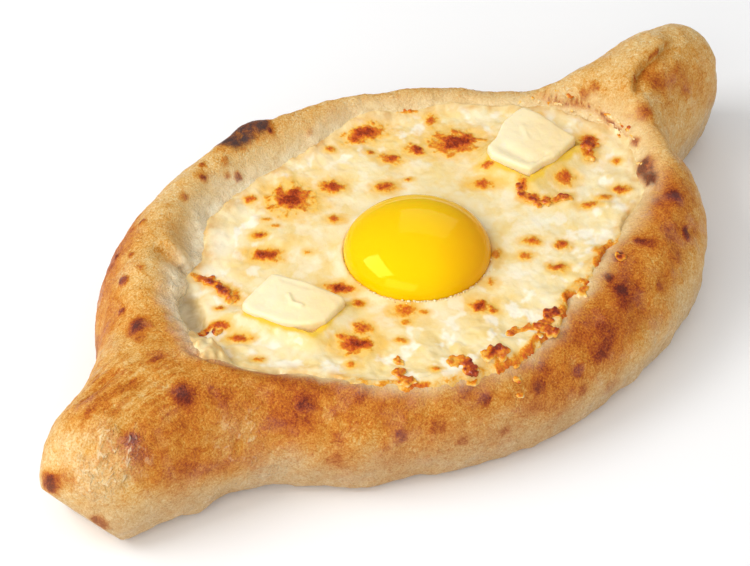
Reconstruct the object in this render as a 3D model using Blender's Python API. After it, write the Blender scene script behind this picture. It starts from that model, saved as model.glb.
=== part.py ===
"""Khachapuri, an open boat of baked dough filled with cheese, with an egg yolk and two pats of butter.

Metres, +Z up. The origin is under the middle of the whole bread, at the surface it rests on,
and +X runs along the boat from one twisted end to the other. The far side is +Y.
"""
import math
from collections import namedtuple

import bmesh
import bpy
import numpy as np
from mathutils import Matrix

Handle = namedtuple("Handle", "length half_width fullness direction slant")
Pat = namedtuple("Pat", "corners rise sunk corner_radius")
Paint = namedtuple("Paint", "colour roughness")

# Plan of the dough boat about the middle of the boat. A fullness is the power of a superellipse.
BODY_HALF_LENGTH = 0.0911
BODY_HALF_WIDTH_FAR = 0.0699
BODY_HALF_WIDTH_NEAR = 0.0618
BODY_FULLNESS = 1.92
BODY_TURN = -18.9
LEFT_HANDLE = Handle(length=0.1217, half_width=0.0240, fullness=3.4, direction=177.4, slant=-0.16)
RIGHT_HANDLE = Handle(length=0.1303, half_width=0.0193, fullness=3.4, direction=1.8, slant=-0.16)
LEFT_NECK_SHARPNESS = 13.0
RIGHT_NECK_SHARPNESS = 9.4

# The opening that shows the filling, about its own middle
OPENING_HALF_LENGTH = 0.0745
OPENING_HALF_WIDTH = 0.0530
OPENING_FULLNESS = 1.86
OPENING_TURN = -7.0
OPENING_MIDDLE = (0.0066, 0.0023)

# Heights of the crust over the surface it rests on
WIDEST_LEVEL = 0.0126
HANDLE_WIDEST_LEVEL = 0.0160
FAR_RIM_HEIGHT = 0.0406
NEAR_RIM_HEIGHT = 0.0309
LEFT_HANDLE_HEIGHT = 0.0390
RIGHT_HANDLE_HEIGHT = 0.0452
RIM_CHANGE_REACH = 0.055
BASE_INSET = 0.0050
HANDLE_BASE_INSET = 0.0066

# How far from an edge the crust reaches its full height
RIM_SHOULDER = 0.019
HANDLE_SHOULDER = 0.0195
INNER_SHOULDER = 0.013
CREST_SOFTNESS = 0.0020

# Where the rim turns into a handle, along X, and over what length
LEFT_NECK_X = -0.077
RIGHT_NECK_X = 0.073
NECK_BLEND = 0.0115
LEFT_SHOULDER_X = -0.080
RIGHT_SHOULDER_X = 0.082
SHOULDER_BLEND = 0.009

# Filling
CHEESE_LEVEL = 0.0297
CHEESE_SWELL = 0.0007
CHEESE_SWELL_REACH = (0.014, 0.017)
CHEESE_SWELL_SHIFT = (0.6, -0.3)
CHEESE_EDGE_RADIUS = 0.0012
WELL_FLOOR = 0.0095
WELL_CORNER_INSET = 0.0100
GAP = 0.0004

# Egg yolk, a flattened ball sunk in the cheese
YOLK_DIAMETER = 0.041
YOLK_THICKNESS = 0.023
YOLK_MIDDLE = (0.0002, -0.0032)
YOLK_RISE = 0.0120

# Pats of butter. The corners run round the pat as seen from above.
FRONT_PAT = Pat(((-0.0365, 0.0165), (-0.0515, 0.0100), (-0.0455, -0.0090), (-0.0290, -0.0055)),
                rise=0.0040, sunk=0.0022, corner_radius=0.0030)
BACK_PAT = Pat(((0.0660, 0.0185), (0.0560, 0.0175), (0.0415, 0.0080), (0.0435, -0.0050),
                (0.0660, -0.0050)),
               rise=0.0045, sunk=0.0022, corner_radius=0.0025)
PAT_TOP_BEVEL = 0.0014
PAT_BEVEL_STEPS = 3

# Mesh steps
SPOKES = 104
OUTLINE_STEPS = 1440
SIDE_STEPS = 3
TOP_STEPS = 14
WELL_STEPS = 4
CHEESE_TOP_STEPS = 4
YOLK_SEGMENTS = 28
YOLK_RINGS = 14
NEXT_TO_NOTHING = 0.001
SAME_LEVEL = 1e-6

CRUST_PAINT = Paint((0.62, 0.32, 0.11, 1.0), 0.55)
CHEESE_PAINT = Paint((0.89, 0.76, 0.42, 1.0), 0.35)
YOLK_PAINT = Paint((0.95, 0.53, 0.01, 1.0), 0.12)
BUTTER_PAINT = Paint((0.94, 0.81, 0.45, 1.0), 0.30)


def superellipse(angle, half_length, half_width, fullness, slant=0.0):
    """Distance from the middle to a superellipse, whose end may be cut at a slant."""
    along = np.abs((np.cos(angle) - slant * np.sin(angle)) / half_length)
    across = np.abs(np.sin(angle) / half_width)
    return (along ** fullness + across ** fullness) ** (-1.0 / fullness)


def fade(value, middle, width):
    """0 well below the middle, 1 well above it."""
    return 1.0 / (1.0 + np.exp(np.clip((middle - value) / width, -50.0, 50.0)))


def handle_radius(angle, handle):
    """Distance to the edge of one twisted end, or next to nothing on the other side."""
    turned = angle - math.radians(handle.direction)
    reach = superellipse(turned, handle.length, handle.half_width, handle.fullness, handle.slant)
    return np.where(np.cos(turned) > 0.0, reach, NEXT_TO_NOTHING)


def outline_radius(angle):
    """Distance from the middle of the boat to its edge: the body and both handles, blended."""
    turned = angle - math.radians(BODY_TURN)
    half_width = np.where(np.sin(turned) > 0.0, BODY_HALF_WIDTH_FAR, BODY_HALF_WIDTH_NEAR)
    radii = (superellipse(turned, BODY_HALF_LENGTH, half_width, BODY_FULLNESS),
             handle_radius(angle, LEFT_HANDLE),
             handle_radius(angle, RIGHT_HANDLE))
    right = 0.5 + 0.5 * np.cos(angle)
    sharpness = LEFT_NECK_SHARPNESS * (1.0 - right) + RIGHT_NECK_SHARPNESS * right
    widest = np.maximum.reduce(radii)
    return widest * sum((radius / widest) ** sharpness for radius in radii) ** (1.0 / sharpness)


def around(angle, radius):
    """Plan points at these angles and distances."""
    return np.stack([radius * np.cos(angle), radius * np.sin(angle)], axis=-1)


def outline_points(angle):
    """The boat's edge as seen from above."""
    return around(angle, outline_radius(angle))


def opening_points(angle):
    """The edge of the opening as seen from above."""
    turned = angle - math.radians(OPENING_TURN)
    radius = superellipse(turned, OPENING_HALF_LENGTH, OPENING_HALF_WIDTH, OPENING_FULLNESS)
    return around(angle, radius) + np.array(OPENING_MIDDLE)


def even_angles(count):
    """Angles that step evenly round the line halfway between the edge and the opening."""
    angle = np.linspace(0.0, 2.0 * math.pi, OUTLINE_STEPS, endpoint=False)
    halfway = 0.5 * (outline_points(angle) + opening_points(angle))
    steps = np.linalg.norm(np.roll(halfway, -1, axis=0) - halfway, axis=1)
    length = np.concatenate([[0.0], np.cumsum(steps)])
    wanted = np.linspace(0.0, length[-1], count, endpoint=False)
    return np.interp(wanted, length, np.append(angle, 2.0 * math.pi))


def outward(loop):
    """Unit normals of a closed plan loop that runs anticlockwise."""
    along = np.roll(loop, -1, axis=0) - np.roll(loop, 1, axis=0)
    along /= np.linalg.norm(along, axis=1, keepdims=True)
    return np.stack([along[:, 1], -along[:, 0]], axis=1)


def distance_to(points, loop):
    """Shortest distance from each plan point to a closed loop."""
    run = np.roll(loop, -1, axis=0) - loop
    offset = points[:, None, :] - loop
    share = np.clip((offset * run).sum(-1) / (run ** 2).sum(-1), 0.0, 1.0)
    return np.linalg.norm(offset - run * share[..., None], axis=-1).min(axis=1)


def dome(distance, reach):
    """Quarter round that climbs from 0 at an edge to 1 at its reach."""
    return np.sqrt(1.0 - (1.0 - np.clip(distance / reach, 0.0, 1.0)) ** 2)


def lower_of(first, second):
    """The smaller height, with the crease between the two rounded off."""
    near = np.clip(CREST_SOFTNESS - np.abs(first - second), 0.0, None) / CREST_SOFTNESS
    return np.minimum(first, second) - near ** 2 * CREST_SOFTNESS / 4.0


def in_handle(x):
    """1 along the two handles and 0 along the rim between them."""
    return 1.0 - fade(x, LEFT_SHOULDER_X, SHOULDER_BLEND) + fade(x, RIGHT_SHOULDER_X, SHOULDER_BLEND)


def changing(along_rim, along_handle, x):
    """A dimension that differs between the rim and the handles."""
    return along_rim + (along_handle - along_rim) * in_handle(x)


def full_height(points):
    """Height that the crust climbs to: low near rim, higher far rim, thick handles."""
    x, y = points[:, 0], points[:, 1]
    across = 0.5 + 0.5 * np.clip(y / RIM_CHANGE_REACH, -1.0, 1.0)
    rim = NEAR_RIM_HEIGHT + (FAR_RIM_HEIGHT - NEAR_RIM_HEIGHT) * across
    left = 1.0 - fade(x, LEFT_NECK_X, NECK_BLEND)
    right = fade(x, RIGHT_NECK_X, NECK_BLEND)
    return rim * (1.0 - left - right) + LEFT_HANDLE_HEIGHT * left + RIGHT_HANDLE_HEIGHT * right


def top_height(points, edge, opening):
    """Height of the crust's upper surface between its outer edge and the opening."""
    shoulder = changing(RIM_SHOULDER, HANDLE_SHOULDER, points[:, 0])
    widest = changing(WIDEST_LEVEL, HANDLE_WIDEST_LEVEL, points[:, 0])
    full = full_height(points)
    outer = widest + (full - widest) * dome(distance_to(points, edge), shoulder)
    lip = CHEESE_LEVEL - GAP
    inner = lip + (full - lip) * dome(distance_to(points, opening), INNER_SHOULDER)
    return lower_of(outer, inner)


def at_height(points, height):
    """Plan points with their heights, as rows of x, y, z."""
    return np.column_stack([points, np.broadcast_to(height, len(points))])


def side_rings(rim):
    """From the flat base up to the widest level, as a quarter round."""
    widest = changing(WIDEST_LEVEL, HANDLE_WIDEST_LEVEL, rim[:, 0])
    inward = -outward(rim) * changing(BASE_INSET, HANDLE_BASE_INSET, rim[:, 0])[:, None]
    rings = []
    for step in range(SIDE_STEPS + 1):
        turn = 0.5 * math.pi * step / SIDE_STEPS
        points = rim + inward * (1.0 - math.sin(turn))
        rings.append(at_height(points, widest * (1.0 - math.cos(turn))))
    return rings


def top_rings(rim, lip):
    """From the widest level over the crest and down to the edge of the opening."""
    angle = np.linspace(0.0, 2.0 * math.pi, OUTLINE_STEPS, endpoint=False)
    edge, opening = outline_points(angle), opening_points(angle)
    rings = []
    for step in range(1, TOP_STEPS + 1):
        share = 0.5 - 0.5 * math.cos(math.pi * step / TOP_STEPS)
        points = rim + (lip - rim) * share
        rings.append(at_height(points, top_height(points, edge, opening)))
    return rings


def well_rings(lip, top, floor, clearance):
    """From the edge of the opening down a rounded wall to the floor of the well."""
    inward = -outward(lip)
    rings = []
    for step in range(1, WELL_STEPS + 1):
        turn = 0.5 * math.pi * step / WELL_STEPS
        inset = clearance + WELL_CORNER_INSET * (1.0 - math.cos(turn))
        rings.append(at_height(lip + inward * inset, top - (top - floor) * math.sin(turn)))
    return rings


def cheese_height(points):
    """Slightly uneven surface of the melted cheese."""
    x, y = (points / CHEESE_SWELL_REACH + CHEESE_SWELL_SHIFT).T
    return CHEESE_LEVEL + CHEESE_SWELL * np.sin(x) * np.cos(y)


def cheese_rings(lip):
    """The filling from the floor of the well up its wall and in over the top."""
    rings = well_rings(lip, CHEESE_LEVEL - CHEESE_EDGE_RADIUS, WELL_FLOOR + GAP, GAP)[::-1]
    inward = -outward(lip)
    middle = np.array(YOLK_MIDDLE)
    rings.append(at_height(lip + inward * GAP, CHEESE_LEVEL - CHEESE_EDGE_RADIUS))
    edge = lip + inward * (GAP + CHEESE_EDGE_RADIUS)
    for step in range(CHEESE_TOP_STEPS):
        points = edge + (middle - edge) * step / CHEESE_TOP_STEPS
        rings.append(at_height(points, cheese_height(points)))
    return rings


def paint(name, look):
    """Plain material with one colour and roughness."""
    material = bpy.data.materials.new(name)
    material.use_nodes = True
    shader = material.node_tree.nodes["Principled BSDF"]
    shader.inputs["Base Color"].default_value = look.colour
    shader.inputs["Roughness"].default_value = look.roughness
    shader.inputs["Metallic"].default_value = 0.0
    material.diffuse_color = look.colour
    return material


def add_object(name, bm, look):
    """Turn a bmesh into a named object with its own material."""
    bmesh.ops.recalc_face_normals(bm, faces=bm.faces)
    mesh = bpy.data.meshes.new(name)
    bm.to_mesh(mesh)
    bm.free()
    mesh.shade_smooth()
    mesh.materials.append(paint(name, look))
    thing = bpy.data.objects.new(name, mesh)
    bpy.context.scene.collection.objects.link(thing)
    return thing


def skin(rings):
    """Closed body through a stack of rings, grown by extruding one loop of edges after another."""
    bm = bmesh.new()
    loop = bmesh.ops.create_circle(bm, segments=len(rings[0]), radius=1.0, cap_ends=True)["verts"]
    place(loop, rings[0])
    edges = list(bm.edges)
    for ring in rings[1:]:
        grown = bmesh.ops.extrude_edge_only(bm, edges=edges)["geom"]
        new = {item for item in grown if isinstance(item, bmesh.types.BMVert)}
        loop = [next(edge.other_vert(vert) for edge in vert.link_edges if edge.other_vert(vert) in new)
                for vert in loop]
        place(loop, ring)
        edges = [item for item in grown if isinstance(item, bmesh.types.BMEdge)
                 and item.verts[0] in new and item.verts[1] in new]
    bmesh.ops.contextual_create(bm, geom=edges)
    return bm


def place(verts, ring):
    """Put each vertex of a loop on its point of a ring."""
    for vert, point in zip(verts, ring):
        vert.co = point


def make_crust():
    """The dough boat: flat base, round sides, rim and handles, and a well for the filling."""
    angle = even_angles(SPOKES)
    rim, lip = outline_points(angle), opening_points(angle)
    rings = side_rings(rim) + top_rings(rim, lip) + well_rings(lip, CHEESE_LEVEL - GAP, WELL_FLOOR, 0.0)
    return add_object("crust", skin(rings), CRUST_PAINT)


def make_cheese():
    """The filling, which fits the well with a small gap all round."""
    lip = opening_points(even_angles(SPOKES))
    return add_object("cheese", skin(cheese_rings(lip)), CHEESE_PAINT)


def make_yolk(name, grow):
    """The yolk, or the same shape grown on all sides to cut its seat."""
    bm = bmesh.new()
    bmesh.ops.create_uvsphere(bm, u_segments=YOLK_SEGMENTS, v_segments=YOLK_RINGS, radius=1.0)
    wide = 0.5 * YOLK_DIAMETER + grow
    high = 0.5 * YOLK_THICKNESS + grow
    middle = (*YOLK_MIDDLE, CHEESE_LEVEL + YOLK_RISE - 0.5 * YOLK_THICKNESS)
    bmesh.ops.transform(bm, matrix=Matrix.LocRotScale(middle, None, (wide, wide, high)), verts=bm.verts)
    return add_object(name, bm, YOLK_PAINT)


def make_pat(name, pat, grow):
    """A softened slab of butter, or the same shape grown to cut its seat."""
    bm = bmesh.new()
    corners = np.array(pat.corners)
    centre = corners.mean(axis=0)
    away = corners - centre
    away /= np.linalg.norm(away, axis=1, keepdims=True)
    outline = corners + away * grow * math.sqrt(2.0)
    low = CHEESE_LEVEL - pat.sunk - grow
    base = bm.faces.new([bm.verts.new((x, y, low)) for x, y in outline])
    grown = bmesh.ops.extrude_face_region(bm, geom=[base])["geom"]
    raised = [item for item in grown if isinstance(item, bmesh.types.BMVert)]
    bmesh.ops.translate(bm, verts=raised, vec=(0.0, 0.0, pat.rise + pat.sunk + 2.0 * grow))
    upright = [edge for edge in bm.edges if abs(edge.verts[0].co.z - edge.verts[1].co.z) > pat.sunk]
    bmesh.ops.bevel(bm, geom=upright, offset=pat.corner_radius, segments=PAT_BEVEL_STEPS,
                    profile=0.5, affect="EDGES", material=-1)
    top = max(vert.co.z for vert in bm.verts)
    round_over = [edge for edge in bm.edges if min(vert.co.z for vert in edge.verts) > top - SAME_LEVEL]
    bmesh.ops.bevel(bm, geom=round_over, offset=PAT_TOP_BEVEL, segments=PAT_BEVEL_STEPS,
                    profile=0.5, affect="EDGES", material=-1)
    return add_object(name, bm, BUTTER_PAINT)


def cut_seat(thing, cutter):
    """Hollow a seat in one piece with a hidden cutter."""
    cutter.hide_render = True
    cutter.display_type = "WIRE"
    seat = thing.modifiers.new("Seat for " + cutter.name, "BOOLEAN")
    seat.operation = "DIFFERENCE"
    seat.solver = "EXACT"
    seat.object = cutter


def centre_on_origin(things):
    """Bring the middle of the crust's outline over the origin."""
    angle = np.linspace(0.0, 2.0 * math.pi, OUTLINE_STEPS, endpoint=False)
    edge = outline_points(angle)
    middle = 0.5 * (edge.min(axis=0) + edge.max(axis=0))
    for thing in things:
        thing.data.transform(Matrix.Translation((-middle[0], -middle[1], 0.0)))


def main():
    for thing in list(bpy.data.objects):
        bpy.data.objects.remove(thing)
    crust = make_crust()
    cheese = make_cheese()
    yolk = make_yolk("yolk", 0.0)
    pats = [make_pat("butter_front", FRONT_PAT, 0.0), make_pat("butter_back", BACK_PAT, 0.0)]
    seats = [make_yolk("yolk_seat", GAP),
             make_pat("front_pat_seat", FRONT_PAT, GAP),
             make_pat("back_pat_seat", BACK_PAT, GAP)]
    for seat in seats:
        cut_seat(cheese, seat)
    centre_on_origin([crust, cheese, yolk, *pats, *seats])


main()
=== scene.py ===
"""Looks of a boat-shaped cheese bread: crust, melted cheese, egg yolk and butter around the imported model.

Sizes and places are in millimetres in the model's own frame, and become metres where a mesh is written.
"""

import math
import random

import bmesh
import bpy
import numpy as np
from bpy.props import FloatProperty, FloatVectorProperty, IntProperty, PointerProperty
from mathutils import Matrix, Vector, noise
from mathutils.bvhtree import BVHTree


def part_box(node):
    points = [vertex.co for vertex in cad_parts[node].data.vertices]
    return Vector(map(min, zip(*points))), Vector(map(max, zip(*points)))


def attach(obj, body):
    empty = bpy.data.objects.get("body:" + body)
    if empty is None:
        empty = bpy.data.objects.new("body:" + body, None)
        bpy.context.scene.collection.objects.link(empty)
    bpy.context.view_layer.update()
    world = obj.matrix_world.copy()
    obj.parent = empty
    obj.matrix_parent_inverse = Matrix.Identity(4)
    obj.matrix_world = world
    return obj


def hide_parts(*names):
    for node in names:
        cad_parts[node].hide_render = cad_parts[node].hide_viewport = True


bl_info = {
    "name": "Boat Cheese Bread",
    "version": (1, 0, 0),
    "blender": (4, 5, 0),
    "location": "3D View > Sidebar > Bread",
    "description": "Makes the baked crust, cheese, yolk and butter of a boat-shaped bread",
    "category": "Object",
}

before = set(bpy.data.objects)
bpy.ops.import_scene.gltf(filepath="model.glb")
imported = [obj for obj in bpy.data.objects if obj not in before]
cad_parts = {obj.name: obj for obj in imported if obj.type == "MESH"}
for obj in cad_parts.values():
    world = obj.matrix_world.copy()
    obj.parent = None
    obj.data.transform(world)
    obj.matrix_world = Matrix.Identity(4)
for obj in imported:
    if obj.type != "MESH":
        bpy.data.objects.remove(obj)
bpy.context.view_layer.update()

MM = 0.001

# The filling's outline is a superellipse: its middle, half-lengths, fullness and turn.
OPENING_MIDDLE = (2.1, -1.2)
OPENING_HALF = (74.5, 53.0)
OPENING_FULLNESS = 1.86
OPENING_TURN = math.radians(-7.0)

# The cook faces the bread's near left side, so this way is to the cook's right.
RIGHTWARD = (0.711, -0.703)


# ---------------------------------------------------------------- small tools

def linear(hex_colour):
    """An sRGB hex colour as linear red, green and blue."""
    parts = [int(hex_colour[i:i + 2], 16) / 255 for i in (1, 3, 5)]
    return tuple(p / 12.92 if p <= 0.04045 else ((p + 0.055) / 1.055) ** 2.4 for p in parts)


def smooth(low, high, x):
    """0 below low, 1 above high, with a soft step between."""
    t = np.clip((x - low) / (high - low), 0.0, 1.0)
    return t * t * (3 - 2 * t)


def waves(points, size, octaves=1, seed=0):
    """Soft noise from about -1 to 1, whose bumps are about size apart."""
    start = Vector((17.3 * seed, -9.1 * seed, 5.7 * seed))
    if octaves == 1:
        return np.array([noise.noise(Vector(p) / size + start) for p in points.tolist()])
    return np.array([noise.fractal(Vector(p) / size + start, 0.9, 2.1, octaves) for p in points.tolist()])


def grains(points, size, seed=0):
    """Rounded grains about size apart: 1 at the middle of each and 0 where two meet."""
    start = Vector((3.3 * seed, 8.1 * seed, -2.7 * seed))
    values = []
    for p in points.tolist():
        near = noise.voronoi(Vector(p) / size + start)[0]
        values.append(min(near[1] - near[0], 1.0))
    return np.array(values)


def near_point(points, place, radius):
    """1 at a place, fading softly to 0 at a radius."""
    away = np.linalg.norm(points - np.array(place), axis=1)
    return 1 - smooth(0.0, radius, away)


def near_path(points, path):
    """Distance to a chain of places, the side that each point is on, and how far along it the point is."""
    path = np.array(path, float)
    best = np.full(len(points), np.inf)
    side = np.zeros(len(points))
    along = np.zeros(len(points))
    for i, (a, b) in enumerate(zip(path[:-1], path[1:])):
        run = b - a
        share = np.clip((points - a) @ run / (run @ run), 0, 1)
        gap = points - a - share[:, None] * run
        away = np.linalg.norm(gap, axis=1)
        closer = away < best
        best[closer] = away[closer]
        turn = run[0] * gap[:, 1] - run[1] * gap[:, 0]
        side[closer] = np.sign(turn)[closer]
        along[closer] = ((i + share) / (len(path) - 1))[closer]
    return best, side, along


def from_path(points, path):
    """Distance to a chain of places."""
    return near_path(points, path)[0]


def bell(away, width):
    """1 at no distance, falling off over a width in a bell's shape."""
    return np.exp(-(away / width) ** 2)


def flat(points):
    """The points' places as seen from above."""
    return points[:, :2]


def turned(x, y, angle):
    """A place as seen along axes that are turned by an angle."""
    c, s = math.cos(angle), math.sin(angle)
    return x * c + y * s, y * c - x * s


def rightward(points, middle):
    """How far each point lies to the cook's right of a place."""
    return (points[:, 0] - middle[0]) * RIGHTWARD[0] + (points[:, 1] - middle[1]) * RIGHTWARD[1]


def nearer(points, middle):
    """How far each point lies on the cook's side of a place."""
    return (middle[0] - points[:, 0]) * 0.7 + (middle[1] - points[:, 1]) * 0.7


def read_off(rows, direction):
    """The values of a table at a direction, read off between its rows."""
    where, *columns = zip(*rows)
    return [np.interp(direction, where, column) for column in columns]


def opening_share(points):
    """0 at the middle of the opening, 1 on its outline."""
    x = points[:, 0] - OPENING_MIDDLE[0]
    y = points[:, 1] - OPENING_MIDDLE[1]
    u, v = (np.abs(way) / half for way, half in zip(turned(x, y, OPENING_TURN), OPENING_HALF))
    return (u ** OPENING_FULLNESS + v ** OPENING_FULLNESS) ** (1 / OPENING_FULLNESS)


def outside_opening(points):
    """Distance outside the opening's outline, and the direction from its middle in degrees."""
    share = opening_share(points)
    dx = points[:, 0] - OPENING_MIDDLE[0]
    dy = points[:, 1] - OPENING_MIDDLE[1]
    away = np.hypot(dx, dy)
    return away - away / np.maximum(share, 0.01), np.degrees(np.arctan2(dy, dx)) % 360


def drawn_in(points, shift):
    """The points moved in towards the opening's middle, each by its own distance."""
    aside = flat(points) - OPENING_MIDDLE
    moved = points.copy()
    moved[:, :2] -= aside * (shift / np.maximum(np.hypot(*aside.T), 0.1))[:, None]
    return moved


def points_of(mesh):
    """The mesh's points in millimetres."""
    numbers = np.zeros(len(mesh.vertices) * 3)
    mesh.vertices.foreach_get("co", numbers)
    return numbers.reshape(-1, 3) / MM


def move_points(mesh, points):
    """Puts the mesh's points at places in millimetres."""
    mesh.vertices.foreach_set("co", (points * MM).ravel())
    mesh.update()


def normals_of(mesh):
    """The direction that the surface faces at each point."""
    numbers = np.zeros(len(mesh.vertices) * 3)
    mesh.vertex_normals.foreach_get("vector", numbers)
    return numbers.reshape(-1, 3)


def paint(mesh, **layers):
    """Keeps numbers from 0 to 1 for each point, by name, for the material to read."""
    for name, values in layers.items():
        layer = mesh.attributes.new(name, "FLOAT", "POINT")
        layer.data.foreach_set("value", np.clip(values, 0, 1).astype(np.float32))


def to_mesh(shapes, name):
    """A mesh from a bmesh, which is freed."""
    mesh = bpy.data.meshes.new(name)
    shapes.to_mesh(mesh)
    shapes.free()
    return mesh


def linked_piece(mesh):
    """One object for a mesh, in the scene."""
    piece = bpy.data.objects.new(mesh.name, mesh)
    bpy.context.scene.collection.objects.link(piece)
    return piece


def mesh_piece(name, mesh, material):
    """One object from a mesh, shaded smooth, with its material."""
    mesh.name = name
    mesh.shade_smooth()
    mesh.materials.clear()
    mesh.materials.append(material)
    return linked_piece(mesh)


def remeshed(mesh, voxel, smoothing=0):
    """The mesh, rounded by subdivision where asked, and remeshed evenly at a voxel size in metres."""
    piece = linked_piece(mesh)
    if smoothing:
        rounding = piece.modifiers.new("Rounding", "SUBSURF")
        rounding.levels = smoothing
        rounding.render_levels = smoothing
    remesh = piece.modifiers.new("Even mesh", "REMESH")
    remesh.mode = "VOXEL"
    remesh.voxel_size = voxel
    view = bpy.context.evaluated_depsgraph_get()
    even = bpy.data.meshes.new_from_object(piece.evaluated_get(view))
    bpy.data.objects.remove(piece)
    return even


def merged_copy(node):
    """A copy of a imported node, merged, with its triangles joined to larger faces where they are flat."""
    shapes = bmesh.new()
    shapes.from_mesh(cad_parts[node].data)
    bmesh.ops.remove_doubles(shapes, verts=shapes.verts, dist=0.00001)
    bmesh.ops.join_triangles(
        shapes, faces=shapes.faces, angle_face_threshold=math.radians(40),
        angle_shape_threshold=math.radians(60),
    )
    return to_mesh(shapes, node)


def relax(mesh, times):
    """Evens out the small steps that remeshing leaves."""
    shapes = bmesh.new()
    shapes.from_mesh(mesh)
    for _ in range(times):
        bmesh.ops.smooth_vert(
            shapes, verts=shapes.verts, factor=0.5, use_axis_x=True, use_axis_y=True, use_axis_z=True,
        )
    shapes.to_mesh(mesh)
    shapes.free()


def add(tree, kind, inputs=None, stops=None, out=0, **settings):
    """Adds one node with its settings, input values or links, and colour stops, and gives its output."""
    made = tree.nodes.new(kind)
    for name, value in settings.items():
        setattr(made, name, value)
    for name, value in (inputs or {}).items():
        if isinstance(value, bpy.types.NodeSocket):
            tree.links.new(value, made.inputs[name])
        else:
            made.inputs[name].default_value = value
    for i, (place, colour) in enumerate(stops or []):
        stop = made.color_ramp.elements[i] if i < 2 else made.color_ramp.elements.new(place)
        stop.position = place
        stop.color = (*linear(colour), 1.0)
    return made.outputs[out] if made.outputs else None


def per(size):
    """Pattern scale for a real size in millimetres."""
    return 1 / (size * MM)


def new_material(name):
    """An empty node material, its tree, and places on the piece for its patterns."""
    material = bpy.data.materials.new(name)
    material.use_nodes = True
    tree = material.node_tree
    tree.nodes.clear()
    return material, tree, add(tree, "ShaderNodeTexCoord", out="Object")


def settings():
    """The sizes and colours that the panel holds."""
    return bpy.context.scene.bread_settings


# ---------------------------------------------------------------- crust

# Places where the dough bulges or dips: place, radius, and push along X, Y and Z.
PUSHES = [
    ((-6, 61, 36), 10, (-0.2, 1.2, 1.0)),
    ((-91, 22, 25), 17, (-2.4, 1.6, 0.4)),
    ((-118, -11, 6), 13, (-0.9, -1.8, 0.0)),
    ((-127, 6, 17), 10, (-2.2, 0.8, 0.0)),
    ((-86, -22, 6), 12, (0.0, 1.4, 0.0)),
    ((-62, 29, 33), 10, (2.2, -2.0, 0.2)),
    ((-48, 41, 32), 8, (-1.2, 1.8, -0.4)),
    ((-71, 3, 31), 9, (2.6, 0.4, 0.6)),
    ((119, -9, 34), 12, (1.2, -1.0, 0.4)),
    ((98, 4, 40), 16, (0.0, 0.6, 1.2)),
]

# How far the rim's inner side leans in over the opening: direction in degrees, distance and rim's width.
LEANS = [
    (0, 4.5, 8), (10, 7.0, 4), (23, 7.5, 2.5), (32, 6.5, 2), (41, 5.6, 2.5), (50, 5.0, 3), (60, 3.5, 3.5),
    (67, 3.0, 4), (75, 5.5, 4.5), (83, 7.5, 5), (97, 7.0, 6), (107, 6.3, 7.5), (121, 5.0, 9),
    (130, 3.0, 9.5), (140, 6.0, 9.5), (147, 7.5, 9.5), (152, 4.0, 9), (158, 0.5, 8), (182, 0.0, 6),
    (188, 1.0, 5), (193, 4.0, 5), (204, 3.5, 5), (213, 0.5, 5), (225, 0.0, 5), (262, 0.5, 5),
    (275, 4.8, 6), (287, 6.5, 7), (298, 8.3, 8), (308, 9.0, 8), (318, 7.8, 8), (327, 6.0, 8),
    (340, 5.0, 6), (350, 4.0, 6), (360, 4.5, 8),
]

# The left end's underside slants in towards the bread: the way the slant faces and how far out it lies.
TIP_SLANT = ((-0.846, -0.093, -0.524), 99.2)

# Waves in the crust's surface: rise, size, octaves and seed.
CRUST_WAVES = [(0.70, 27, 2, 1), (0.46, 9, 3, 2), (0.20, 3.0, 2, 3)]

# The pit where the left fold parts from the rim.
PIT_PATH = [(-63.5, 23.5, 30), (-66, 18.5, 30), (-69, 13.5, 30)]

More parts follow.
